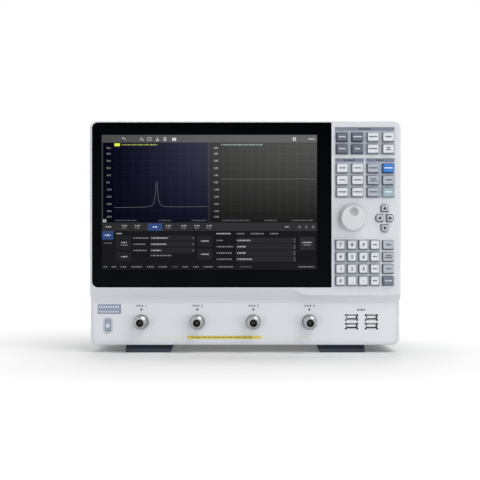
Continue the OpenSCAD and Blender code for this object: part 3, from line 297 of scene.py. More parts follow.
# near-black insulators: painted shade deep in the port bores
BORE_SHADE_INSULATOR = plastic("dark insulator", tone(38, 37, 38), rough=0.6, grain=0.1)
BOARD = plastic("solder mask", tone(24, 84, 56), rough=0.35, grain=0.2, patch=0.4, scale=900.0)
STEEL = metal("turned steel", tone(168, 169, 172), rough=0.22)
SOCKET_SHADED_INSIDE = socket_metal()
BRIGHT = metal("bright nickel", tone(222, 223, 226), rough=0.2, marks=(900.0, 40.0, 900.0))
SHIELD = metal("shield aluminium", tone(186, 188, 190), rough=0.42, marks=(40.0, 900.0, 900.0))
GOLD = metal("gold contact", tone(226, 190, 112), rough=0.22, depth=0.1)
# a dull, dark gold for the centre contacts deep in the port bores
DULL_GOLD = metal("dull contact", tone(122, 113, 98), rough=0.35)
COPPER = metal("cable copper", tone(206, 170, 120))
ZINC = metal("zinc plate", tone(190, 192, 196), rough=0.32, marks=(800.0, 800.0, 800.0))
KEY_SKIN = inked("key silicone", rough=0.5)
KNOB_SKIN = inked("knob plastic", rough=0.42, grain=0.02)
KEY_GLOW = inked("lit key", rough=0.42, glow=0.28, grain=0.02)
# ink-coloured finish for print, for plain inked pieces, and for the painted shade at the USB sockets
# and power button
PRINT_AND_PAINTED_SHADE = inked("printed ink and painted shade", rough=0.5, specular=0.3)
SCREEN = lit_screen()
GLASS_SKIN = cover_glass()


# ---- mesh helpers ---------------------------------------------------------------------------

class Sheet:
    """Collects coloured faces, then makes one mesh of them with an Ink colour attribute."""

    def __init__(self):
        self.points = []
        self.faces = []
        self.inks = []

    def face(self, points, ink):
        start = len(self.points)
        self.points += [tuple(p) for p in points]
        self.faces.append(tuple(range(start, start + len(points))))
        self.inks.append(ink if isinstance(ink[0], (list, tuple)) else [ink] * len(points))

    def rect(self, x0, x1, z0, z1, y, ink):
        """A flat rectangle that faces the front."""
        self.face([(x0, y, z0), (x1, y, z0), (x1, y, z1), (x0, y, z1)], ink)

    def strip(self, line, width, y, ink):
        """A flat band of constant width along a line of (x, z) points."""
        for (xa, za), (xb, zb) in zip(line, line[1:]):
            along = Vector((xb - xa, zb - za))
            if along.length < 1e-6:
                continue
            side = Vector((-along.y, along.x)).normalized() * width / 2
            self.face([(xa - side.x, y, za - side.y), (xb - side.x, y, zb - side.y),
                       (xb + side.x, y, zb + side.y), (xa + side.x, y, za + side.y)], ink)

    def disc(self, x, z, radius, y, ink, sides=24, inner=0.0):
        ring = [(math.cos(2 * math.pi * k / sides), math.sin(2 * math.pi * k / sides))
                for k in range(sides)]
        if not inner:
            self.face([(x + radius * c, y, z + radius * s) for c, s in ring], ink)
            return
        for (ca, sa), (cb, sb) in zip(ring, ring[1:] + ring[:1]):
            self.face([(x + inner * ca, y, z + inner * sa), (x + radius * ca, y, z + radius * sa),
                       (x + radius * cb, y, z + radius * sb), (x + inner * cb, y, z + inner * sb)],
                      ink)

    def figures(self, words, x, z, height, y, ink, centred=True):
        """Plain digits and signs, set flat on the plane y."""
        points, faces, width = figure_mesh(words)
        left = x - width * height / 2 if centred else x
        for face in faces:
            self.face([(left + points[i][0] * height, y,
                        z + (points[i][1] - FIGURE_MIDDLE) * height)
                       for i in face], ink)

    def loft(self, rings, ink, close_last=True):
        """Joins closed rings of equal count; the last one is filled. Ink may depend on the point."""
        count = len(rings[0])
        quads = [[a[k], a[(k + 1) % count], b[(k + 1) % count], b[k]]
                 for a, b in zip(rings, rings[1:]) for k in range(count)]
        if close_last:
            quads.append(list(rings[-1]))
        for quad in quads:
            self.face(quad, [ink(p) for p in quad] if callable(ink) else ink)

    def mesh(self, name, merge=True):
        """The faces as one mesh in metres, with their colours."""
        mesh = bpy.data.meshes.new(name)
        mesh.from_pydata([[c * MM for c in p] for p in self.points], [], self.faces)
        layer = mesh.color_attributes.new("Ink", "FLOAT_COLOR", "CORNER")
        layer.data.foreach_set("color", [c for inks in self.inks for ink in inks for c in ink])
        if merge:
            bm = bmesh.new()
            bm.from_mesh(mesh)
            bmesh.ops.remove_doubles(bm, verts=bm.verts, dist=1e-7)
            bmesh.ops.recalc_face_normals(bm, faces=bm.faces)
            bm.to_mesh(mesh)
            bm.free()
        return mesh

    def make(self, name, material, node, smooth=None, replaced=()):
        """A finished piece that rides with a CAD node; a solid shape is merged and shaded smooth."""
        mesh = self.mesh(name, merge=smooth is not None)
        if smooth is not None:
            mesh.shade_smooth()
            mesh.set_sharp_from_angle(angle=math.radians(smooth))
        settle(mesh, name, material, node, replaced)


def settle(mesh, name, material, node, replaced=()):
    """Makes a finished piece of a mesh and lets it ride on a CAD node's body."""
    piece = bpy.data.objects.new(name, mesh)
    bpy.context.scene.collection.objects.link(piece)
    mesh.materials.clear()
    mesh.materials.append(material)
    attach(piece, BODY_OF[node])
    if replaced:
        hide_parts(*replaced)


def plain_mesh(item):
    """The mesh of an object with its modifiers applied; the object is removed."""
    bpy.context.view_layer.update()
    made = bpy.data.meshes.new_from_object(item.evaluated_get(
        bpy.context.evaluated_depsgraph_get()))
    bpy.data.objects.remove(item)
    return made


FIGURES = {}
FIGURE_MIDDLE = 0.35         # middle of a digit above its foot, as a share of the type size


def figure_mesh(words):
    """Points, faces and width of a run of digits, one unit high."""
    if words not in FIGURES:
        curve = bpy.data.curves.new("figures", "FONT")
        curve.body = words
        curve.size = 1.0
        curve.resolution_u = 3
        curve.offset = 0.025
        holder = bpy.data.objects.new("figures", curve)
        bpy.context.scene.collection.objects.link(holder)
        mesh = plain_mesh(holder)
        points = [(v.co.x, v.co.y) for v in mesh.vertices]
        faces = [tuple(p.vertices) for p in mesh.polygons]
        width = max((p[0] for p in points), default=0.0)
        bpy.data.meshes.remove(mesh)
        FIGURES[words] = (points, faces, width)
    return FIGURES[words]


def rounded_ring(x, z, width, height, radius, y, steps=5):
    """Points around a rounded rectangle, anticlockwise as the front shows it."""
    ring = []
    w = width / 2 - radius
    h = height / 2 - radius
    for corner, (sx, sz) in enumerate(((1, -1), (1, 1), (-1, 1), (-1, -1))):
        for k in range(steps + 1):
            angle = math.pi / 2 * (corner - 1 + k / steps)
            ring.append((x + sx * w + radius * math.cos(angle), y,
                         z + sz * h + radius * math.sin(angle)))
    return ring


def lathe(profile, x, z, sides=64):
    """Rings of a turned piece around an axis along Y, from (radius, y) points."""
    return [[(x + r * math.cos(2 * math.pi * k / sides), y, z + r * math.sin(2 * math.pi * k / sides))
             for k in range(sides)] for r, y in profile]


FLAT_ANGLE = math.radians(1)         # triangles this close to flat are one face
EDGE_ANGLE = math.radians(32)        # sharper edges than this are rounded


def merged(node):
    """An editable copy of a CAD node with its loose triangles merged."""
    bm = bmesh.new()
    bm.from_mesh(NODES[node].data)
    bmesh.ops.remove_doubles(bm, verts=bm.verts, dist=2e-6)
    return bm


def softened(node, width, material, segments):
    """A CAD node with its loose triangles merged and its outer edges rounded."""
    bm = merged(node)
    bmesh.ops.dissolve_limit(bm, angle_limit=FLAT_ANGLE, verts=bm.verts, edges=bm.edges)
    bm.normal_update()
    rounding = bm.edges.layers.float.new("bevel_weight_edge")
    for edge in bm.edges:
        if edge.is_convex and edge.calc_face_angle() > EDGE_ANGLE:
            edge[rounding] = 1.0
    name = node + "_shell"
    mesh = bpy.data.meshes.new(name)
    bm.to_mesh(mesh)
    bm.free()
    mesh.shade_smooth()
    holder = bpy.data.objects.new(name, mesh)
    bpy.context.scene.collection.objects.link(holder)
    bevel = holder.modifiers.new("edges", "BEVEL")
    bevel.width = width * MM
    bevel.segments = segments
    bevel.limit_method = "WEIGHT"
    bevel.use_clamp_overlap = True
    even = holder.modifiers.new("even shading", "WEIGHTED_NORMAL")
    even.keep_sharp = True
    made = plain_mesh(holder)
    bpy.data.meshes.remove(mesh)
    made.name = name
    settle(made, name, material, node, (node,))


def islands(node):
    """Boxes of the separate solids of a CAD node, as (low, high) corners in millimetres."""
    bm = merged(node)
    seen = set()
    boxes = []
    for first in bm.verts:
        if first in seen:
            continue
        stack = [first]
        seen.add(first)
        members = []
        while stack:
            v = stack.pop()
            members.append(v.co.copy())
            for edge in v.link_edges:
                other = edge.other_vert(v)
                if other not in seen:
                    seen.add(other)
                    stack.append(other)
        boxes.append([Vector([pick(c[i] for c in members) for i in range(3)]) / MM
                      for pick in (min, max)])
    bm.free()
    return boxes


# ---- geometry node trees --------------------------------------------------------------------

def scatter_tree():
    """Puts a copy of the given item on every point, turned along the point's Aim."""
    tree = bpy.data.node_groups.new("fit on points", "GeometryNodeTree")
    for label, kind in (("Geometry", "Geometry"), ("Item", "Object"), ("Size", "Float"),
                        ("Finish", "Material")):
        tree.interface.new_socket(label, in_out="INPUT", socket_type="NodeSocket" + kind)
    tree.interface.new_socket("Geometry", in_out="OUTPUT", socket_type="NodeSocketGeometry")
    given = tree.nodes.new("NodeGroupInput").outputs
    item = add(tree, "GeometryNodeObjectInfo", {"Object": given["Item"]})
    aim = add(tree, "GeometryNodeInputNamedAttribute", {"Name": "Aim"}, data_type="FLOAT_VECTOR")
    turn = add(tree, "FunctionNodeAlignRotationToVector", {"Vector": aim.outputs["Attribute"]},
               axis="Z")
    place = add(tree, "GeometryNodeInstanceOnPoints", {
        "Points": given["Geometry"], "Instance": item.outputs["Geometry"],
        "Rotation": turn.outputs["Rotation"], "Scale": given["Size"]})
    real = add(tree, "GeometryNodeRealizeInstances", {"Geometry": place.outputs["Instances"]})
    paint = add(tree, "GeometryNodeSetMaterial", {"Geometry": real.outputs["Geometry"],
                                                  "Material": given["Finish"]})
    add(tree, "NodeGroupOutput", {"Geometry": paint.outputs["Geometry"]})
    return tree


SCATTER = scatter_tree()


def scatter(name, item_mesh, places, material, node):
    """One plain mesh of copies of an item at (point, aim) places, made by the scatter tree."""
    item = bpy.data.objects.new(name + " item", item_mesh)
    cloud = bpy.data.meshes.new(name + " places")
    cloud.from_pydata([p * MM for p, _ in places], [], [])
    aims = cloud.attributes.new("Aim", "FLOAT_VECTOR", "POINT")
    aims.data.foreach_set("vector", [c for _, aim in places for c in aim])
    holder = bpy.data.objects.new(name + " holder", cloud)
    for thing in (item, holder):
        bpy.context.scene.collection.objects.link(thing)
    fit = holder.modifiers.new("fit", "NODES")
    fit.node_group = SCATTER
    sockets = {s.name: s.identifier for s in SCATTER.interface.items_tree if s.in_out == "INPUT"}
    for label, value in (("Item", item), ("Size", 1.0), ("Finish", material)):
        fit[sockets[label]] = value
    made = plain_mesh(holder)
    bpy.data.objects.remove(item)
    made.shade_smooth()
    made.set_sharp_from_angle(angle=math.radians(35))
    settle(made, name, material, node, (node,))


# ---- keys -----------------------------------------------------------------------------------

KEY_FRONT = box_of("response_key_1")[0][1]       # plane of the keys' faces
KEY_PRINT = KEY_FRONT - PRINT_LIFT
DISPLAY_CURVE = 2.2
SKIRT_PAINTED_SHADE = 0.42           # how dark the shade painted on a white cap's skirt is, on its left and below
SKIRT_START = 0.55           # where the painted shade starts, as a share of the way out to the edge
SKIRT_FADE = 0.3             # share of the way over which the painted shade grows to its full depth
# Caps whose skirts get less painted shade than the white keys'
SKIRT_PAINTED_SHADE_SHARE = {KEY_TEAL: 0.3, KEY_DARK: 0.62, ENTER_DARK: 0.62}
CAP_GROW = 0.25              # how far a cap stands out beyond the sides of its CAD key
CAP_SLOPES = (1.35, 0.65, 1.75, 0.6)     # of the left, right, lower and upper sides
CAP_MIDDLE = (0.35, 0.55)    # shift of a face's middle from the key's middle
# How far a cap's side steps in, and the plane of that step
CAP_STEPS = [(0.0, FACE + 3.2), (0.0, FACE + 0.1), (0.15, FACE - 0.5),
             (0.74, KEY_FRONT + 0.8), (0.84, KEY_FRONT + 0.45),
             (1.0, KEY_FRONT + 0.08), (1.3, KEY_FRONT), (2.0, KEY_FRONT + 0.04),
             (3.0, KEY_FRONT + 0.12)]


def cap_ring(x, z, width, height, corner, inset, y):
    """One outline of a key cap. Its left and lower sides slope more than the other two."""
    slope = min(inset, 1.0)
    dish = 2 * (inset - slope)
    left, right, below, above = [share * slope for share in CAP_SLOPES]
    return rounded_ring(x + (left - right) / 2, z + (below - above) / 2,
                        width + 2 * CAP_GROW - left - right - dish,
                        height + 2 * CAP_GROW - below - above - dish, corner, y)


def key_shape(sheet, x, z, width, height, ink, corner=1.2):
    """A drafted key cap: painted shade on its skirt's left and lower sides, soft edge, slightly dished
    face.
    """
    def skin(point):
        if point[1] < KEY_FRONT + 0.5:
            return ink
        # painted shade: the skirt darkens towards its left and lower sides
        aside = max((x - point[0]) / width, (z - point[2]) / height) * 2
        deep = SKIRT_PAINTED_SHADE * SKIRT_PAINTED_SHADE_SHARE.get(ink, 1.0)
        shade = 1 - deep * min(1.0, max(0.0, (aside - SKIRT_START) / SKIRT_FADE))
        return tuple(c * shade ** DISPLAY_CURVE for c in ink[:3]) + (1.0,)

    sheet.loft([cap_ring(x, z, width, height, corner, inset, y) for inset, y in CAP_STEPS], skin)


def legend_bars(sheet, x, z, width, lines, ink, y):
    """Generic short bars in place of a key's lettering."""
    thick, line_pitch, dash, gap = 1.3, 2.5, 1.15, 0.28
    for i, share in enumerate(lines):
        row = z + ((len(lines) - 1) / 2 - i) * line_pitch
        half = width * share / 2
        count = max(2, round(2 * half / (dash + gap)))
        step = 2 * half / count
        for k in range(count):
            left = x - half + k * step
            sheet.rect(left, left + step - gap, row - thick / 2, row + thick / 2, y, ink)


# Widths of the generic bars on each key, as shares of the key's width
LEGENDS = {
    "response_key_1": [0.56], "response_key_2": [0.74], "response_key_3": [0.72],
    "response_key_4": [0.54], "response_key_5": [0.58], "response_key_6": [0.42],
    "response_key_7": [0.74], "response_key_8": [0.34, 0.42], "stimulus_key_1": [0.54],
    "stimulus_key_2": [0.57], "stimulus_key_3": [0.52], "stimulus_key_4": [0.66],
    "stimulus_key_5": [0.70], "stimulus_key_6": [0.72], "utility_key_1": [0.74],
    "utility_key_2": [0.70], "utility_key_3": [0.50, 0.64], "utility_key_4": [0.55],
    "utility_key_5": [0.72], "utility_key_6": [0.56], "edit_key_1": [0.40],
    "edit_key_2": [0.50, 0.62], "edit_key_3": [0.44], "edit_key_4": [0.58]}
KEY_INKS = {"key_white": (KEY_WHITE, INK_DARK), "key_grey": (KEY_GREY, INK_DARK),
            "key_dark": (KEY_DARK, INK_LIGHT), "key_blue": (KEY_BLUE, INK_LIGHT),
            "key_teal": (KEY_TEAL, tone(206, 228, 228))}


def make_function_keys():
    """A cap with its generic bars for each single key; blue and teal caps glow a little."""
    for node, lines in LEGENDS.items():
        slot = SLOT_OF[node]
        cap, ink = KEY_INKS[slot]
        if node == "edit_key_4":
            cap = ENTER_DARK
        x, z, width, height = middle_of(node)
        width -= 2 * KEY_LIP
        sheet = Sheet()
        key_shape(sheet, x, z, width, height - 2 * KEY_LIP, cap)
        legend_bars(sheet, x + CAP_MIDDLE[0], z + CAP_MIDDLE[1], width, lines, ink, KEY_PRINT)
        glows = slot in ("key_blue", "key_teal")
        sheet.make(node + "_cap", KEY_GLOW if glows else KEY_SKIN, node, 40, (node,))


NUMBER_ROWS = ("789", "456", "123", "0.-")
PAD_KEY_W = 10.8
FIGURE_H = 5.6


def make_number_keys():
    """Rows of four caps: three with a digit or sign, and one with a generic bar."""
    for row, marks in enumerate(NUMBER_ROWS, 1):
        node = f"number_keys_row_{row}"
        middle, z, width, height = middle_of(node)
        pitch = (width - 2 * KEY_LIP - PAD_KEY_W) / 3
        sheet = Sheet()
        for column, mark in enumerate(marks + " "):
            x = middle + (column - 1.5) * pitch
            key_shape(sheet, x, z, PAD_KEY_W, height - 2 * KEY_LIP, KEY_WHITE)
            across, up = x + CAP_MIDDLE[0], z + CAP_MIDDLE[1]
            if mark == " ":
                legend_bars(sheet, across, up, PAD_KEY_W, [0.50], INK_DARK, KEY_PRINT)
            else:
                sheet.figures(mark, across, up, FIGURE_H, KEY_PRINT, INK_DARK)
        sheet.make(node + "_caps", KEY_SKIN, node, 40, (node,))


# How far an arrow key's side steps in, and the plane of that step
ARROW_STEPS = [(0.0, FACE + 3.2), (0.0, FACE), (0.15, FACE - 0.5), (0.62, KEY_FRONT + 0.95),
               (0.8, KEY_FRONT + 0.35), (1.1, KEY_FRONT + 0.06), (1.5, KEY_FRONT)]
ARROW_SLOPES = (1.25, 0.6, 1.4, 0.5)     # of the left, right, lower and upper sides
ARROW_MARK = 2.35           # half the width of the triangle on an arrow key


def arrow_ring(x, z, turn, half, inset, y):
    """A square with two corners cut back, in quarter turns; it slopes as the other caps do."""
    cut = 0.55 * half
    outline = [(-half, -half), (half, -half), (half, half - cut), (half - cut, half),
               (cut - half, half), (-half, half - cut)]
    ring = []
    count = len(outline)
    radius = 1.1
    c, s = math.cos(-turn * math.pi / 2), math.sin(-turn * math.pi / 2)
    for k, here in enumerate(outline):
        before = Vector(outline[k - 1]) - Vector(here)
        after = Vector(outline[(k + 1) % count]) - Vector(here)
        a = Vector(here) + before.normalized() * radius
        b = Vector(here) + after.normalized() * radius
        for t in (0.0, 0.25, 0.5, 0.75, 1.0):
            p = a * (1 - t) ** 2 + Vector(here) * 2 * t * (1 - t) + b * t ** 2
            ring.append((c * p.x - s * p.y, s * p.x + c * p.y))
    left, right, below, above = [share * inset for share in ARROW_SLOPES]
    across, up = 1 - (left + right) / (2 * half), 1 - (below + above) / (2 * half)
    return [(x + px * across + (left - right) / 2, y, z + pz * up + (below - above) / 2)
            for px, pz in ring]


def make_arrow_keys():
    """Four caps in a cross, each with a triangle that points outwards; their left and lower sides are
    painted in shade.
    """
    for turn, side in enumerate(("up", "right", "down", "left")):
        node = "arrow_key_" + side
        x, z, width, _ = middle_of(node)
        half = width / 2 - KEY_LIP - 0.1
        sheet = Sheet()

        def skin(point):
            # painted shade: the left and lower sides take the darker ink
            aside = max((x - point[0]) / half, (z - point[2]) / half)
            deep = point[1] > KEY_FRONT + 0.5 and aside > 0.6
            return ARROW_PAINTED_SHADE if deep else ARROW_GREY

        sheet.loft([arrow_ring(x, z, turn, half, inset, y) for inset, y in ARROW_STEPS], skin)
        size = ARROW_MARK
        c, s = math.cos(-turn * math.pi / 2), math.sin(-turn * math.pi / 2)
        tips = [(-size, -0.8 * size), (size, -0.8 * size), (0.0, size)]
        sheet.face([(x + c * a - s * b, KEY_PRINT, z + s * a + c * b) for a, b in tips],
                   tone(8, 8, 14))
        sheet.make(node + "_cap", KEY_SKIN, node, 40, (node,))


# ---- knob -----------------------------------------------------------------------------------

DIMPLE = (6.2, 0.5, 7.5, 2.4)      # radius, place to the right and above the axis, depth


def make_knob():
    """A turned knob with a drafted skirt, a rounded face edge and a finger dimple painted darker as
    shade.
    """
    x, z, width, _ = middle_of("tuning_knob")
    foot, tip = FACE - 0.4, box_of("tuning_knob")[0][1]
    radius = width / 2 - 0.6
    face = radius - 2.2
    bend = 2.4
    sides = 96
    dimple_r, dimple_x, dimple_z, dimple_d = DIMPLE

    def dip(px, pz):
        away = math.hypot(px - dimple_x, pz - dimple_z) / dimple_r
        if away >= 1:
            return 0.0
        return dimple_d * (1 - away * away) ** 1.25

    skirt = [(radius - 3.0, foot), (radius - 0.5, foot), (radius, foot - 0.5),
             (radius - 0.3, foot - 3.0), (face + 0.7, tip + 5.0)]
    turn = [(face - bend * (1 - math.cos(a)), tip + bend * (1 - math.sin(a)))
            for a in [math.pi / 2 * k / 8 for k in range(9)]]
    top = [((face - bend) * (1 - k / 60), tip) for k in range(1, 60)]
    sheet = Sheet()
    rings = []
    for r, y in skirt + turn + top:
        ring = []
        for k in range(sides):
            a = 2 * math.pi * k / sides
            px, pz = r * math.cos(a), r * math.sin(a)
            ring.append((x + px, y + (dip(px, pz) if y < tip + 0.001 else 0.0), z + pz))
        rings.append(ring)

    def skin(point):
        # painted shade: the dimple is darker, by up to a fifth at its deepest
        deep = dip(point[0] - x, point[2] - z) / dimple_d if point[1] < tip + 3 else 0.0
        shade = 1 - 0.2 * min(1.0, 2.2 * deep)
        return tone(206 * shade, 207 * shade, 211 * shade)

    sheet.loft(rings, skin)
    sheet.make("tuning_knob_cap", KNOB_SKIN, "tuning_knob", 45, ("tuning_knob",))


# ---- test ports -----------------------------------------------------------------------------

PORT_SHELLS = islands("port_connectors")
PORTS = sorted(((low + high) / 2).x for low, high in PORT_SHELLS)
PORT_Z = (PORT_SHELLS[0][0].z + PORT_SHELLS[0][1].z) / 2
PORT_TIP = box_of("port_connectors")[0][1]
THREAD_R = 7.94
THREAD_PITCH = 1.06
COLLAR_R = 9
COLLAR_Y = PANEL_FACE - 6
BORE_R = 4.2
BORE_DEPTH = 9.5
# Outlines inside the bore, as radius and depth behind the rim
INSULATOR = [(BORE_R, BORE_DEPTH), (3.0, BORE_DEPTH), (2.9, 7.5), (1.6, 7.3)]
CONTACT = [(1.5, 9.4), (1.5, 5.6), (1.3, 5.2), (0.9, 5.2), (0.85, 9.0)]


def port_profile():
    """Outer and inner outline of a port: collar, threaded shell, rounded rim and socket bore."""
    profile = [(COLLAR_R, PANEL_FACE + 1), (COLLAR_R, COLLAR_Y + 0.7), (COLLAR_R - 0.6, COLLAR_Y),
               (THREAD_R - 0.9, COLLAR_Y), (THREAD_R - 0.9, COLLAR_Y - 1.0)]
    y = COLLAR_Y - 1.2
    while y > PORT_TIP + 2.6:
        profile += [(THREAD_R - 0.55, y), (THREAD_R - 0.05, y - 0.42 * THREAD_PITCH),
                    (THREAD_R - 0.05, y - 0.58 * THREAD_PITCH)]
        y -= THREAD_PITCH
    profile.append((THREAD_R - 0.6, y))
    return profile + [(r, PORT_TIP + depth) for r, depth in (
        (THREAD_R - 0.6, 1.1), (THREAD_R - 1.5, 0.15), (THREAD_R - 1.8, 0.0),
        (BORE_R + 0.5, 0.0), (BORE_R + 0.1, 0.4), (BORE_R, 0.8), (BORE_R, BORE_DEPTH + 0.1))]


def collar_land(sheet, x, angle):
    """A raised land on the collar, between two spanner notches."""
    reach, count = 0.5, 8
    arc = [angle - reach + 2 * reach * k / count for k in range(count + 1)]
    outline = [(COLLAR_R + 0.25, a) for a in arc] + [(COLLAR_R - 0.4, a) for a in reversed(arc)]
    sheet.loft([[(x + r * math.cos(a), y, PORT_Z + r * math.sin(a)) for r, a in outline]
                for y in (PANEL_FACE - 2.2, COLLAR_Y - 0.15)], PLAIN)


def make_ports():
    """Threaded shells with their insulators and centre contacts."""
    shell, inner, contact = Sheet(), Sheet(), Sheet()
    for x in PORTS:
        shell.loft(lathe(port_profile(), x, PORT_Z), PLAIN, close_last=False)
        for sheet, outline, sides in ((inner, INSULATOR, 64), (contact, CONTACT, 32)):
            profile = [(r, PORT_TIP + depth) for r, depth in outline]
            sheet.loft(lathe(profile, x, PORT_Z, sides), PLAIN)
        for quarter in range(4):
            collar_land(shell, x, math.pi / 4 + quarter * math.pi / 2)
    node = "port_connectors"
    shell.make("port_shells", STEEL, node, 38, (node,))
    # the insulators carry the painted shade of the bores
    inner.make("port_insulators", BORE_SHADE_INSULATOR, node, 38)
    contact.make("port_contacts", DULL_GOLD, node, 38)


# ---- panel trim -----------------------------------------------------------------------------

def slab(sheet, x0, x1, z0, z1, y_back, thick, ink, radius=0.4):
    """A thin plate with rounded corners and a soft front edge."""
    x, z, w, h = (x0 + x1) / 2, (z0 + z1) / 2, x1 - x0, z1 - z0
    edge = min(thick * 0.5, 0.25)
    sheet.loft([rounded_ring(x, z, w, h, radius, y_back),
                rounded_ring(x, z, w, h, radius, y_back - thick + edge),
                rounded_ring(x, z, w - 2 * edge, h - 2 * edge, radius, y_back - thick)], ink)


PLATE_BOX = (LEFT + 8.6, LEFT + 37, SILL + 38.2, SILL + 49.7)
STRIP_ENDS = (-71, 19.4)
STRIP_Z = SILL + 9.4
STRIP_WORDS = (2, 5, 4, 3, 7, 4, 5, 6, 5, 3)    # bars in each group along the strip
LAMP_RISE = 15.3                                # height of a port's lamp above the port's axis


def name_plate():
    """A bare plate with two bands of plain bars."""
    sheet = Sheet()
    x0, x1, z0, z1 = PLATE_BOX
    y = PANEL_FACE - 0.53
    slab(sheet, x0, x1, z0, z1, PANEL_FACE, 0.5, tone(131, 143, 163), 0.6)
    for low, high, count in ((z1 - 4.7, z1 - 1.6, 9), (z0 + 1.5, z0 + 3.9, 12)):
        step = (x1 - x0 - 3.2) / count
        for k in range(count):
            left = x0 + 1.6 + k * step
            sheet.rect(left, left + 0.62 * step, low, high, y, tone(206, 213, 226))
    sheet.rect(x0 + 0.3, x1 - 0.3, z0 + 5.1, z0 + 5.5, y, tone(176, 184, 202))
    sheet.make("name_plate", PRINT_AND_PAINTED_SHADE, "port_panel", 30)


def yellow_strip():
    """A bare yellow strip with plain bars, and thin lines from it up to the outer ports."""
    sheet = Sheet()
    first, last = STRIP_ENDS
    slab(sheet, first, last, STRIP_Z - 2.0, STRIP_Z + 2.0, PANEL_FACE, 0.2, tone(218, 198, 94))
    left = first + 6
    for word in STRIP_WORDS:
        for _ in range(word):
            sheet.rect(left, left + 1.0, STRIP_Z - 0.85, STRIP_Z + 0.85, PANEL_FACE - 0.22,
                       tone(138, 118, 50))
            left += 1.4
        left += 1.3
    for port, end, side in ((PORTS[0], first, 1), (PORTS[3], last, -1)):
        line = [(port, STRIP_Z + 3), (port, STRIP_Z + 1), (port + side, STRIP_Z), (end, STRIP_Z)]
        sheet.strip(line[::side], 0.5, PANEL_FACE - 0.03, tone(222, 216, 168))
    sheet.make("yellow_strip", PRINT_AND_PAINTED_SHADE, "port_panel")


def port_marks():
    """A lamp, a figure and a short row of plain bars above each port."""
    lamps, figures = Sheet(), Sheet()
    dome = [(1.4, PANEL_FACE + 0.8), (1.4, PANEL_FACE - 0.1), (1.1, PANEL_FACE - 0.35),
            (0.5, PANEL_FACE - 0.5)]
    y = PANEL_FACE - 0.03
    for number, x in enumerate(PORTS, 1):
        z = PORT_Z + LAMP_RISE
        lamps.loft(lathe(dome, x, z, 24), tone(96, 102, 112))
        z += 4.6
        for k in range(4):
            left = x - 5.9 + k * 2.3
            figures.rect(left, left + 1.6, z - 1.1, z + 1.1, y, tone(132, 136, 146))
        figures.figures(str(number), x + 5.7, z, 3.8, y, tone(64, 68, 78))
    lamps.make("port_lamps", KEY_SKIN, "port_panel", 40)
    figures.make("port_figures", PRINT_AND_PAINTED_SHADE, "port_panel")


def make_power_button():
    """A soft button with a lit disc and its mark, and a thin darker line around it painted as the
    shaded edge of its recess.
    """
    x, z, width, height = middle_of("power_button")
    width, height = width - 2, height - 2
    front = box_of("power_button")[0][1]
    outline = Sheet()
    y = PANEL_FACE - PRINT_LIFT
    # painted shade: a thin line stands in for the shaded edge of the button's shallow recess
    ring = rounded_ring(x, z, width + 4.6, height + 5.4, width / 2 + 2.2, y, steps=10)
    ring = [(px, pz) for px, _, pz in ring]
    outline.strip(ring + ring[:1], 0.45, y, tone(196, 200, 210))
    outline.make("button_outline", PRINT_AND_PAINTED_SHADE, "port_panel")
    sheet = Sheet()
    rings = ((0.0, 2.4, PANEL_FACE + 2.6), (0.0, 2.4, front + 0.5), (0.3, 2.4, front + 0.15),
             (0.9, 2.2, front))
    sheet.loft([rounded_ring(x, z, width - inset, height - inset, corner, y)
                for inset, corner, y in rings], tone(150, 160, 180))
    z -= 0.3
    y = front - 2 * PRINT_LIFT
    mark = tone(150, 160, 182)
    sheet.disc(x, z, 2.5, front - PRINT_LIFT, tone(222, 228, 238))
    arc = [math.radians(a) for a in range(125, 416, 10)]
    sheet.strip([(x + 1.3 * math.cos(a), z + 1.3 * math.sin(a)) for a in arc], 0.4, y, mark)
    sheet.rect(x - 0.2, x + 0.2, z + 0.3, z + 1.8, y, mark)
    sheet.make("power_button_cap", KEY_SKIN, "power_button", 40, ("power_button",))


FILM_MARGIN = 1.25     # margin of the film around its keys
# First and last key of each titled row, and the width of its title's bars as a share
GROUPS = (("response_key_1", "response_key_4", 0.22), ("stimulus_key_1", "stimulus_key_2", 0.38),
          ("utility_key_1", "utility_key_2", 0.26))


def make_keypad_print():
    """Header bars of the key groups, with a short generic bar where a title would be."""
    sheet = Sheet()
    y = box_of("keypad_overlay")[0][1] - PRINT_LIFT
    height = 4.4
    for first, last, share in GROUPS:
        x0 = box_of(first)[0][0] + KEY_LIP - FILM_MARGIN
        x1 = box_of(last)[1][0] - KEY_LIP + FILM_MARGIN
        x, width = (x0 + x1) / 2, x1 - x0
        z = box_of(first)[1][2] - KEY_LIP + 2.4 + height / 2
        sheet.face(rounded_ring(x, z, width, height, 1.0, y), tone(122, 130, 146))
        legend_bars(sheet, x, z, width, [share], tone(40, 45, 58), y - PRINT_LIFT)
    sheet.make("header_bars", PRINT_AND_PAINTED_SHADE, "keypad_overlay")


# ---- USB sockets ----------------------------------------------------------------------------

USB_PITCH = (24.2, 10.5)
# Each sheet's name, finish and smoothing angle
USB_SHEETS = (("usb_backs", PRINT_AND_PAINTED_SHADE, None), ("usb_lips", PRINT_AND_PAINTED_SHADE, 30), ("usb_tongues", PRINT_AND_PAINTED_SHADE, 30),
              ("usb_leaves", GOLD, None), ("usb_edging", PRINT_AND_PAINTED_SHADE, None))


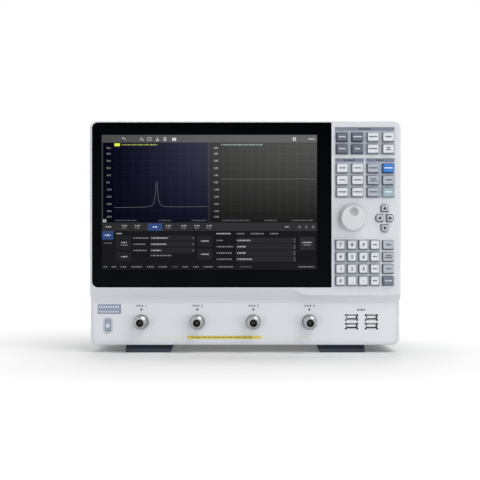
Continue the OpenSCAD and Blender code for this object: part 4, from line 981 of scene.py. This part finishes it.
def socket_front(x, z, shade_backs, lips, tongues, leaves, shadow_edging):
    """One socket's back painted near black as shade, pale lip and posts with the right post painted in
    shade, tongue, four contacts, and black edging painted as shadow.
    """
    pale, shaded, shadow_black = tone(190, 194, 200), tone(78, 81, 86), tone(12, 12, 15)
    lip_back = PANEL_FACE + 1.45
    edge = PANEL_FACE - PRINT_LIFT
    # the near-black back is painted shade inside the opening
    shade_backs.rect(x - 8.6, x + 8.6, z - 4.6, z + 4.6, PANEL_FACE + 1.9, tone(9, 9, 12))
    slab(lips, x - 5.9, x + 5.9, z - 3.4, z - 2.45, lip_back, 1.2, pale, 0.2)
    # the right post's darker ink is painted shade on the inner right wall
    for side, ink in ((-1, pale), (1, shaded)):
        post = x + side * 6.7
        slab(lips, post - 0.7, post + 0.7, z - 1.9, z + 2.0, lip_back, 1.2, ink, 0.2)
        # black discs at the corners: painted shade of the relief holes
        for end in (-1, 1):
            shadow_edging.disc(x + side * 7.0, z + end * 3.1, 1.2, edge, shadow_black)
    slab(tongues, x - 5.1, x + 5.1, z + 0.3, z + 1.75, PANEL_FACE + 2.2, 1.5,
         tone(236, 238, 242), 0.2)
    # black line along the top: painted shadow of the gap
    shadow_edging.rect(x - 7.2, x + 7.2, z + 3.3, z + 3.75, edge, shadow_black)
    for k in range(4):
        left = x - 3.9 + k * 2.2
        leaves.rect(left, left + 1.2, z + 0.15, z + 0.28, PANEL_FACE + 1.1, PLAIN)


def make_usb_inserts():
    """Fronts of the four sockets, and the generic mark above them."""
    cx, cz, _, _ = middle_of("usb_sockets")
    sheets = [Sheet() for _ in USB_SHEETS]
    for column in (-0.5, 0.5):
        for row in (-0.5, 0.5):
            socket_front(cx + column * USB_PITCH[0], cz + row * USB_PITCH[1], *sheets)
    mark = Sheet()
    z = cz + 14.6
    y = PANEL_FACE - 0.04
    ink = tone(60, 64, 74)
    mark.strip([(cx - 4.4, z), (cx + 4.4, z)], 0.7, y + 0.01, ink)
    mark.disc(cx - 4.0, z, 1.2, y, ink)
    mark.disc(cx + 0.4, z, 1.5, y, ink, inner=0.8)
    mark.rect(cx + 3.2, cx + 4.8, z - 0.8, z + 0.8, y, ink)
    mark.make("socket_mark", PRINT_AND_PAINTED_SHADE, "port_panel")
    for sheet, (name, material, smooth) in zip(sheets, USB_SHEETS):
        sheet.make(name, material, "usb_sockets", smooth)


# ---- screen ---------------------------------------------------------------------------------

SCREEN_LEFT = LCD[0][0] + LCD_RIM
SCREEN_TOP = LCD[1][2] - LCD_RIM
SCREEN_W = LCD[1][0] - LCD[0][0] - 2 * LCD_RIM
SCREEN_H = LCD[1][2] - LCD[0][2] - 2 * LCD_RIM
SCREEN_Y = FACE - 0.03
LAYER = 0.015              # spacing of the picture's layers
PAINTED_GLARE = 75                  # how much paler the painted glare makes the picture towards its right
# Reaches on the screen: the graphs' paper and plots downwards, and the two plots across
PAPER_V = (9.4, 106.0)
PLOT_V = (14.0, 101.0)
LEFT_PLOT = (15.4, 128.4)
RIGHT_PLOT = (146.2, 259.6)


class Picture:
    """Draws on the screen in millimetres, right and down from its upper left corner."""

    def __init__(self):
        self.sheet = Sheet()

    def shade(self, colour, u, v, glare_share=1.0):
        """Painted glare: the picture is made paler towards its upper right corner."""
        across = PAINTED_GLARE * (1 - math.exp(-(max(u, 0.0) / 112) ** 1.35))
        down = 1 - 0.65 * (max(0.0, v - PLOT_V[0]) / 83) ** 1.3 if v < 106.1 else 0.06
        return tone(*(min(255, c + across * down * glare_share) for c in colour))

    def box(self, u0, u1, v0, v1, colour, layer=0, cells=1, glare_share=1.0):
        for i in range(cells):
            a, b = u0 + (u1 - u0) * i / cells, u0 + (u1 - u0) * (i + 1) / cells
            for j in range(cells):
                c, d = v0 + (v1 - v0) * j / cells, v0 + (v1 - v0) * (j + 1) / cells
                corners = [(a, d), (b, d), (b, c), (a, c)]
                self.sheet.face([self.at(u, v, layer) for u, v in corners],
                                [self.shade(colour, u, v, glare_share) for u, v in corners])

    def at(self, u, v, layer):
        return (SCREEN_LEFT + u, SCREEN_Y - layer * LAYER, SCREEN_TOP - v)

    def words(self, u0, u1, v, colour, layer=3, height=1.5):
        """A run of short bars in place of a line of lettering."""
        u = u0
        k = 0
        while u < u1 - 0.4:
            long = (1.5, 2.4, 1.1, 3.0, 1.9)[k % 5]
            end = min(u + long, u1)
            self.box(u, end, v - height / 2, v + height / 2, colour, layer)
            u = end + (0.55 if k % 3 else 1.0)
            k += 1

    def figures(self, words, u, v, height, colour, layer=3):
        self.sheet.figures(words, SCREEN_LEFT + u, SCREEN_TOP - v, height,
                           SCREEN_Y - layer * LAYER, self.shade(colour, u, v), centred=False)

    def line(self, points, width, colour, layer):
        self.sheet.strip([(SCREEN_LEFT + u, SCREEN_TOP - v) for u, v in points],
                         width, SCREEN_Y - layer * LAYER, tone(*colour))


def graph(picture, plot, paper, grid, numbers, left):
    """One graph with its grid of ten by ten divisions and the figures of its axis."""
    u0, u1 = plot
    top, bottom = PLOT_V
    picture.box(left, u1 + 1.2, *PAPER_V, paper, 1, cells=10)
    for i in range(11):
        u = u0 + (u1 - u0) * i / 10
        v = top + (bottom - top) * i / 10
        picture.box(u - 0.16, u + 0.16, top, bottom, grid, 2)
        picture.box(u0, u1, v - 0.16, v + 0.16, grid, 2)
        label = v + (1.8 if i == 0 else -1.8 if i == 10 else 0)
        picture.figures(numbers[i], left + 4.2, label, 3.0, (128, 128, 134))


def resonance(u):
    """A flat response with one narrow peak."""
    level, rise, peak, spread = 88.2, 31.0, 66.5, 1.6
    away = (u - peak) / spread
    return level - rise / (1 + away * away) - 0.012 * (u - 15)


def ripple(u):
    """A flat response that wavers towards its right end."""
    level, start = 53.4, 205
    wave = max(0.0, (u - start) / 55)
    return level + 0.9 * wave * math.sin((u - start) / 7.5) + 0.4 * wave


def make_screen():
    """The lit picture: a bar of tools, two graphs, and rows of fields under them."""
    picture = Picture()
    # the plain backing takes no painted glare, the top bar a little
    picture.box(0, SCREEN_W, 0, SCREEN_H, (24, 24, 26), 0, cells=8, glare_share=0.0)
    picture.box(0, SCREEN_W, 0, 9.3, (75, 75, 75), 1, cells=8, glare_share=0.36)
    tool_marks(picture)
    picture.words(250.5, 258.5, 4.9, (150, 150, 150), height=1.2)
    tens = [f"{50 - 10 * i}.0" for i in range(11)]
    ones = [f"{5 - i}.00" for i in range(11)]
    graph(picture, LEFT_PLOT, (0, 0, 19), (15, 15, 41), tens, 1.5)
    graph(picture, RIGHT_PLOT, (8, 8, 7), (26, 27, 27), ones, 131.6)
    picture.box(129.6, 131.0, *PAPER_V, (30, 30, 30), 3)
    picture.box(0, 1.4, *PAPER_V, (62, 62, 60), 3)
    picture.box(LEFT_PLOT[0], 22.0, 10.2, 13.6, (226, 238, 72), 3)
    picture.words(24.2, 67.5, 11.9, (140, 146, 64))
    picture.words(144.8, 195.0, 11.9, (84, 106, 106))
    for plot, response, steps, ink in ((LEFT_PLOT, resonance, 240, (112, 110, 108)),
                                       (RIGHT_PLOT, ripple, 120, (116, 121, 118))):
        across = [plot[0] + (plot[1] - plot[0]) * k / steps for k in range(steps + 1)]
        picture.line([(u, response(u)) for u in across], 0.42, ink, 4)
    dim = (84, 84, 92)
    for u0, u1 in ((16, 43), (69, 84), (109, 128), (146, 180), (197, 212), (230, 257)):
        picture.words(u0, u1, 103.7, dim, height=1.2)
    picture.box(1.6, 5.4, 102.4, 105.8, (190, 190, 192), 4)
    picture.box(2.6, 4.4, 103.3, 104.9, (90, 90, 96), 5)
    lower_screen(picture)
    picture.sheet.make("screen_picture", SCREEN, "display_glass")


def tool_marks(picture):
    """Small generic marks of the tools along the top bar."""
    pale, dimmer = (190, 191, 192), (138, 139, 136)
    picture.line([(24.9, 4.2), (28.2, 4.2), (28.8, 6.2)], 0.8, pale, 3)
    picture.line([(24.6, 4.2), (26.0, 3.0)], 0.8, pale, 3)
    picture.line([(46.4, 6.8), (48.0, 3.2), (49.6, 6.8)], 0.6, pale, 3)
    picture.box(49.0, 50.4, 5.6, 7.0, pale, 3)
    picture.line([(55.4, 3.4), (59.8, 3.4), (59.8, 6.6), (55.4, 6.6), (55.4, 3.4)], 0.6, pale, 3)
    picture.line([(67.4, 2.8), (67.4, 6.0)], 1.1, pale, 3)
    picture.box(65.8, 69.4, 6.0, 7.0, pale, 3)
    for v in (3.2, 4.8, 6.4):
        picture.box(74.8, 78.2, v, v + 0.7, pale, 3)
    picture.box(85.4, 90.2, 3.6, 7.0, pale, 3)
    picture.box(87.0, 88.6, 4.5, 6.1, (90, 90, 90), 4)
    picture.box(231.6, 233.2, 2.8, 7.2, dimmer, 3)
    picture.box(233.8, 235.4, 2.8, 7.2, dimmer, 3)
    picture.line([(243.0, 6.6), (244.5, 3.4), (246.0, 6.6)], 0.7, (112, 118, 124), 3)


def lower_screen(picture):
    """Tabs, entry fields and status row under the graphs."""
    bright, mid = (168, 169, 172), (122, 123, 126)
    picture.box(0, SCREEN_W, 106.2, 116.4, (44, 44, 46), 1, cells=4)
    picture.box(55.9, 73.2, 107.4, 115.9, (50, 72, 124), 2)
    picture.words(62.0, 67.5, 111.6, (214, 222, 244))
    picture.words(4.8, 11.8, 111.4, bright)
    for u in (27.4, 43.4, 81.0, 99.6, 115.6, 130.4):
        picture.words(u - 3.2, u + 3.2, 110.0, bright, height=1.3)
        picture.words(u - 3.0, u + 2.8, 112.8, mid, height=1.3)
    picture.words(222.0, 226.5, 111.4, bright)
    for u in (240.0, 248.0, 256.3):
        picture.box(u - 3.0, u + 3.0, 107.8, 115.0, (50, 50, 52), 2)
        picture.box(u - 0.9, u + 0.9, 110.2, 112.8, mid, 3)
    # side column
    picture.box(0.2, 14.2, 116.4, 126.8, (50, 72, 118), 2)
    picture.words(3.8, 10.6, 121.6, (206, 216, 246))
    picture.words(2.6, 12.4, 131.2, (96, 96, 98))
    picture.words(17.8, 24.8, 119.6, bright)
    # first group of fields
    picture.box(17.0, 36.0, 122.4, 139.5, (33, 33, 35), 2)
    picture.box(17.0, 36.0, 141.6, 153.0, (33, 33, 35), 2)
    picture.words(23.6, 31.0, 130.4, bright, height=1.4)
    picture.words(23.0, 31.6, 133.6, mid, height=1.4)
    picture.words(23.6, 31.2, 147.6, bright)
    for k, (end, value) in enumerate(((57, 80), (53, 79), (54.5, 72))):
        v = 125.0 + 7.5 * k
        picture.words(38.5, end, v, mid)
        picture.box(58.4, 112.6, v - 3.2, v + 3.2, (36, 36, 38), 2)
        picture.words(60.0, value, v, bright)
        picture.box(110.4, 111.4, v - 1.0, v + 1.0, mid, 3)
    picture.words(59.6, 84.5, 146.2, mid)
    for v in (128.7, 144.7):
        picture.box(116.0, 133.8, v - 6.4, v + 6.4, (33, 33, 35), 2)
        picture.words(120.4, 129.6, v, bright)
    # second group of fields
    for u0, u1 in ((139.0, 156.2), (163.6, 172.6), (180.5, 196.6), (203.8, 213.8)):
        picture.words(u0, u1, 119.7, bright if u0 < 140 else mid)
    for k, (end, value) in enumerate(((147.0, 180.4), (159.8, 175.4), (158.6, 175.6),
                                      (157.4, 182.0))):
        v = 127.9 + 7.6 * k
        picture.words(139.4, end, v, mid)
        picture.box(162.7, 235.2, v - 3.3, v + 3.3, (37, 37, 39), 2)
        picture.words(164.2, value, v, bright)
        picture.box(233.0, 234.4, v - 1.9, v - 0.7, mid, 3)
        picture.box(233.0, 234.4, v + 0.9, v + 2.1, mid, 3)
    picture.box(239.6, 258.4, 123.6, 139.6, (40, 40, 42), 2)
    picture.words(243.0, 254.8, 130.4, bright, height=1.4)
    picture.words(244.6, 253.0, 133.4, mid, height=1.4)
    # status row
    picture.box(0, SCREEN_W, 155.4, SCREEN_H, (24, 24, 27), 1)
    row = ((2.2, 6.5), (12.2, 17.3), (23.0, 30.3), (36.0, 48.9), (54.6, 63.2), (68.9, 79.2),
           (85.3, 92.2), (97.9, 105.2), (110.8, 117.8), (123.4, 135.0), (141.1, 159.8),
           (167.1, 181.8), (238.1, 258.0))
    for k, (u0, u1) in enumerate(row):
        picture.words(u0, u1, 159.9, mid if k not in (6, 11) else (82, 82, 84), height=1.4)


# ---- rear -----------------------------------------------------------------------------------

HEAD_R = 3.5
HEAD_H = 2.1
RECESS = (2.0, 0.55, 1.3)          # reach, half width and depth of the cross recess


def screw_head():
    """A pan head with a cross recess, its axis along Z and its seat at zero."""
    sheet = Sheet()
    slot_r, slot_w, deep = RECESS
    outline = []
    for quarter in range(4):
        a = quarter * math.pi / 2
        c, s = math.cos(a), math.sin(a)
        for px, py in ((slot_r, -slot_w), (slot_r, slot_w), (slot_w, slot_w)):
            outline.append((c * px - s * py, s * px + c * py))
    rim = []
    for px, py in outline:
        a = math.atan2(py, px)
        rim.append((math.cos(a), math.sin(a)))
    levels = [(1.0, 0.0), (1.0, 0.9), (0.93, 1.5), (0.8, 1.9), (0.7, HEAD_H)]
    rings = [[(HEAD_R * share * c, HEAD_R * share * s, z) for c, s in rim]
             for share, z in levels]
    rings.append([(px, py, HEAD_H) for px, py in outline])
    rings.append([(px * 0.7, py * 0.7, HEAD_H - deep) for px, py in outline])
    sheet.loft(rings, PLAIN)
    return sheet.mesh("screw head")


def make_screws():
    """Heads on the rear panel that face back, and on the cover that face out to their side."""
    places = []
    for low, high in islands("case_screws"):
        middle = (low + high) / 2
        if high.y > REAR_FACE + 1:
            places.append((Vector((middle.x, REAR_FACE, middle.z)), Vector((0, 1, 0))))
        else:
            side = 1 if middle.x > 0 else -1
            seat = (high.x if side > 0 else low.x) - side * HEAD_H
            places.append((Vector((seat, middle.y, middle.z)), Vector((side, 0, 0))))
    scatter("screw_heads", screw_head(), places, ZINC, "case_screws")


# ---- studio ---------------------------------------------------------------------------------

# Name, place, target, width, height, power, and whether gloss mirrors it
LAMPS = (("key light", (0.9, -0.95, 1.75), (0.05, -0.05, 0.08), 1.3, 1.1, 15.5, True),
         ("low fill", (0.9, -1.15, 0.12), (0.05, -0.1, 0.03), 0.7, 0.2, 1.5, False),
         ("floor fill", (0.0, -0.85, 0.02), (0.0, -0.1, 0.07), 1.2, 0.03, 1.5, False),
         ("top light", (0.0, 0.8, 1.65), (0.0, -0.15, 0.0), 1.1, 0.7, 8.0, True),
         ("back light", (0.0, 1.9, 1.45), (0.0, -0.2, 0.0), 1.6, 1.1, 17.0, True),
         ("left back light", (-1.9, 0.6, 0.9), (0.0, 0.0, 0.13), 1.2, 1.2, 5.0, True))
ROOM_LIGHT = 0.46
FLOOR_SIZE = 6.0               # half the floor's side, in metres
FLOOR_HALF = (0.19, 0.1)       # half the instrument's width and depth, in metres
# Share of plain white in the floor, at distances counted in half widths and half depths
FLOOR_STOPS = ((0.0, 0.15), (0.7, 0.13), (1.0, 0.06), (1.4, 0.05), (2.1, 0.38), (3.2, 0.5),
               (5.0, 1.0))
FLOOR_WHITE = 1.12
CAMERA_PLACE = (-6.4 * MM, FACE * MM - 1.222, 137.6 * MM)
CAMERA_LENS = 75.6


def sees_backdrop(tree):
    """One for rays from the lens, off gloss and through glass; zero for those that light things."""
    path = tree.nodes.new("ShaderNodeLightPath")
    seen = path.outputs["Is Camera Ray"]
    for label in ("Is Glossy Ray", "Is Transmission Ray"):
        seen = math_node(tree, "MAXIMUM", seen, path.outputs[label])
    return seen


def make_world(scene):
    """A dim white room that shows as plain white."""
    scene.world = bpy.data.worlds.new("studio")
    scene.world.use_nodes = True
    tree = scene.world.node_tree
    tree.nodes.clear()
    room, white = [add(tree, "ShaderNodeBackground", {"Color": PLAIN, "Strength": strength})
                   for strength in (ROOM_LIGHT, 1.0)]
    pick = add(tree, "ShaderNodeMixShader", {0: sees_backdrop(tree), 1: room.outputs[0],
                                             2: white.outputs[0]})
    add(tree, "ShaderNodeOutputWorld", {"Surface": pick.outputs[0]})


def floor_material():
    """A white sweep: it keeps the instrument's shadow and runs out into plain white."""
    material = bpy.data.materials.new("white floor")
    material.use_nodes = True
    tree = material.node_tree
    shader = tree.nodes["Principled BSDF"]
    for label, value in (("Base Color", (0.88, 0.88, 0.88, 1)), ("Roughness", 0.9),
                         ("Specular IOR Level", 0.0)):
        shader.inputs[label].default_value = value
    glow = add(tree, "ShaderNodeEmission", {"Color": PLAIN, "Strength": FLOOR_WHITE})
    spot = tree.nodes.new("ShaderNodeTexCoord")
    oval = add(tree, "ShaderNodeMapping", {
        "Vector": spot.outputs["Object"], "Scale": (1 / FLOOR_HALF[0], 1 / FLOOR_HALF[1], 1)})
    reach = add(tree, "ShaderNodeVectorMath", {0: oval.outputs["Vector"]}, operation="LENGTH")
    last = FLOOR_STOPS[-1][0]
    fade = add(tree, "ShaderNodeValToRGB",
               {"Fac": math_node(tree, "DIVIDE", reach.outputs["Value"], last)})
    stops = fade.color_ramp.elements
    for k, (far, share) in enumerate(FLOOR_STOPS):
        stop = stops[0] if k == 0 else stops.new(far / last)
        stop.position = far / last
        stop.color = (share, share, share, 1)
    stops.remove(stops[-1])
    white = math_node(tree, "MULTIPLY", fade.outputs["Color"], sees_backdrop(tree))
    both = add(tree, "ShaderNodeMixShader", {0: white, 1: shader.outputs[0], 2: glow.outputs[0]})
    tree.links.new(both.outputs[0], tree.nodes["Material Output"].inputs["Surface"])
    return material


def light(name, place, target, width, height, watts, mirrored):
    """An area lamp aimed at a target."""
    data = bpy.data.lights.new(name, "AREA")
    data.shape = "RECTANGLE"
    data.size = width
    data.size_y = height
    data.energy = watts
    lamp = bpy.data.objects.new(name, data)
    lamp.location = place
    aim = Vector(target) - Vector(place)
    lamp.rotation_euler = aim.to_track_quat("-Z", "Y").to_euler()
    lamp.visible_camera = False
    lamp.visible_glossy = mirrored
    bpy.context.scene.collection.objects.link(lamp)


def make_studio():
    """World, floor, lamps and camera."""
    scene = bpy.context.scene
    scene.view_settings.view_transform = "Standard"
    make_world(scene)
    mesh = bpy.data.meshes.new("floor")
    side = FLOOR_SIZE
    mesh.from_pydata([(-side, -side, 0), (side, -side, 0), (side, side, 0), (-side, side, 0)],
                     [], [(0, 1, 2, 3)])
    mesh.materials.append(floor_material())
    floor = bpy.data.objects.new("floor", mesh)
    scene.collection.objects.link(floor)
    for lamp in LAMPS:
        light(*lamp)
    lens = bpy.data.cameras.new("camera")
    lens.lens = CAMERA_LENS
    lens.sensor_width = 36.0
    camera = bpy.data.objects.new("camera", lens)
    camera.location = CAMERA_PLACE
    camera.rotation_euler = (math.pi / 2, 0.0, 0.0)
    scene.collection.objects.link(camera)
    scene.camera = camera


# ---- assembly -------------------------------------------------------------------------------

# Rounding of each CAD node's outer edges, and its finish
DRESSES = {
    "front_bezel": (0.35, SHELL), "port_panel": (0.3, PLATE), "display_glass": (0.3, GLASS_SKIN),
    "keypad_overlay": (0.08, FILM), "top_cover": (0.4, COVER), "chassis_tray": (0.4, COVER),
    "rear_panel": (0.3, REAR_PAINT), "feet": (1.2, FOOT), "leg_left": (0.6, RUBBER),
    "leg_right": (0.6, RUBBER), "carry_handle": (0.8, GRIP), "mains_inlet": (0.4, BLACK),
    "mains_rocker": (0.4, GLOSS_BLACK), "data_sockets": (0.15, SOCKET_SHADED_INSIDE), "rear_coax": (0.2, STEEL),
    "usb_sockets": (0.1, BRIGHT), "fan_frame": (0.5, BLACK), "fan_rotor": (0.3, BLACK)}
# Inner modules keep their CAD meshes
INSIDES = {"lcd_module": SHIELD, "key_board": BOARD, "main_board": BOARD,
           "receiver_module": SHIELD, "power_supply": SHIELD, "rf_cables": COPPER}


def dress_frame():
    """Rounds and finishes the outer CAD nodes, and gives the inner modules their finish."""
    for node, (rounding, material) in DRESSES.items():
        softened(node, rounding, material, segments=1 if node == "keypad_overlay" else 2)
    for node, material in INSIDES.items():
        slots = NODES[node].data.materials
        slots.clear()
        slots.append(material)


make_studio()
dress_frame()
make_function_keys()
make_number_keys()
make_arrow_keys()
make_knob()
make_ports()
name_plate()
yellow_strip()
port_marks()
make_power_button()
make_keypad_print()
make_usb_inserts()
make_screen()
make_screws()
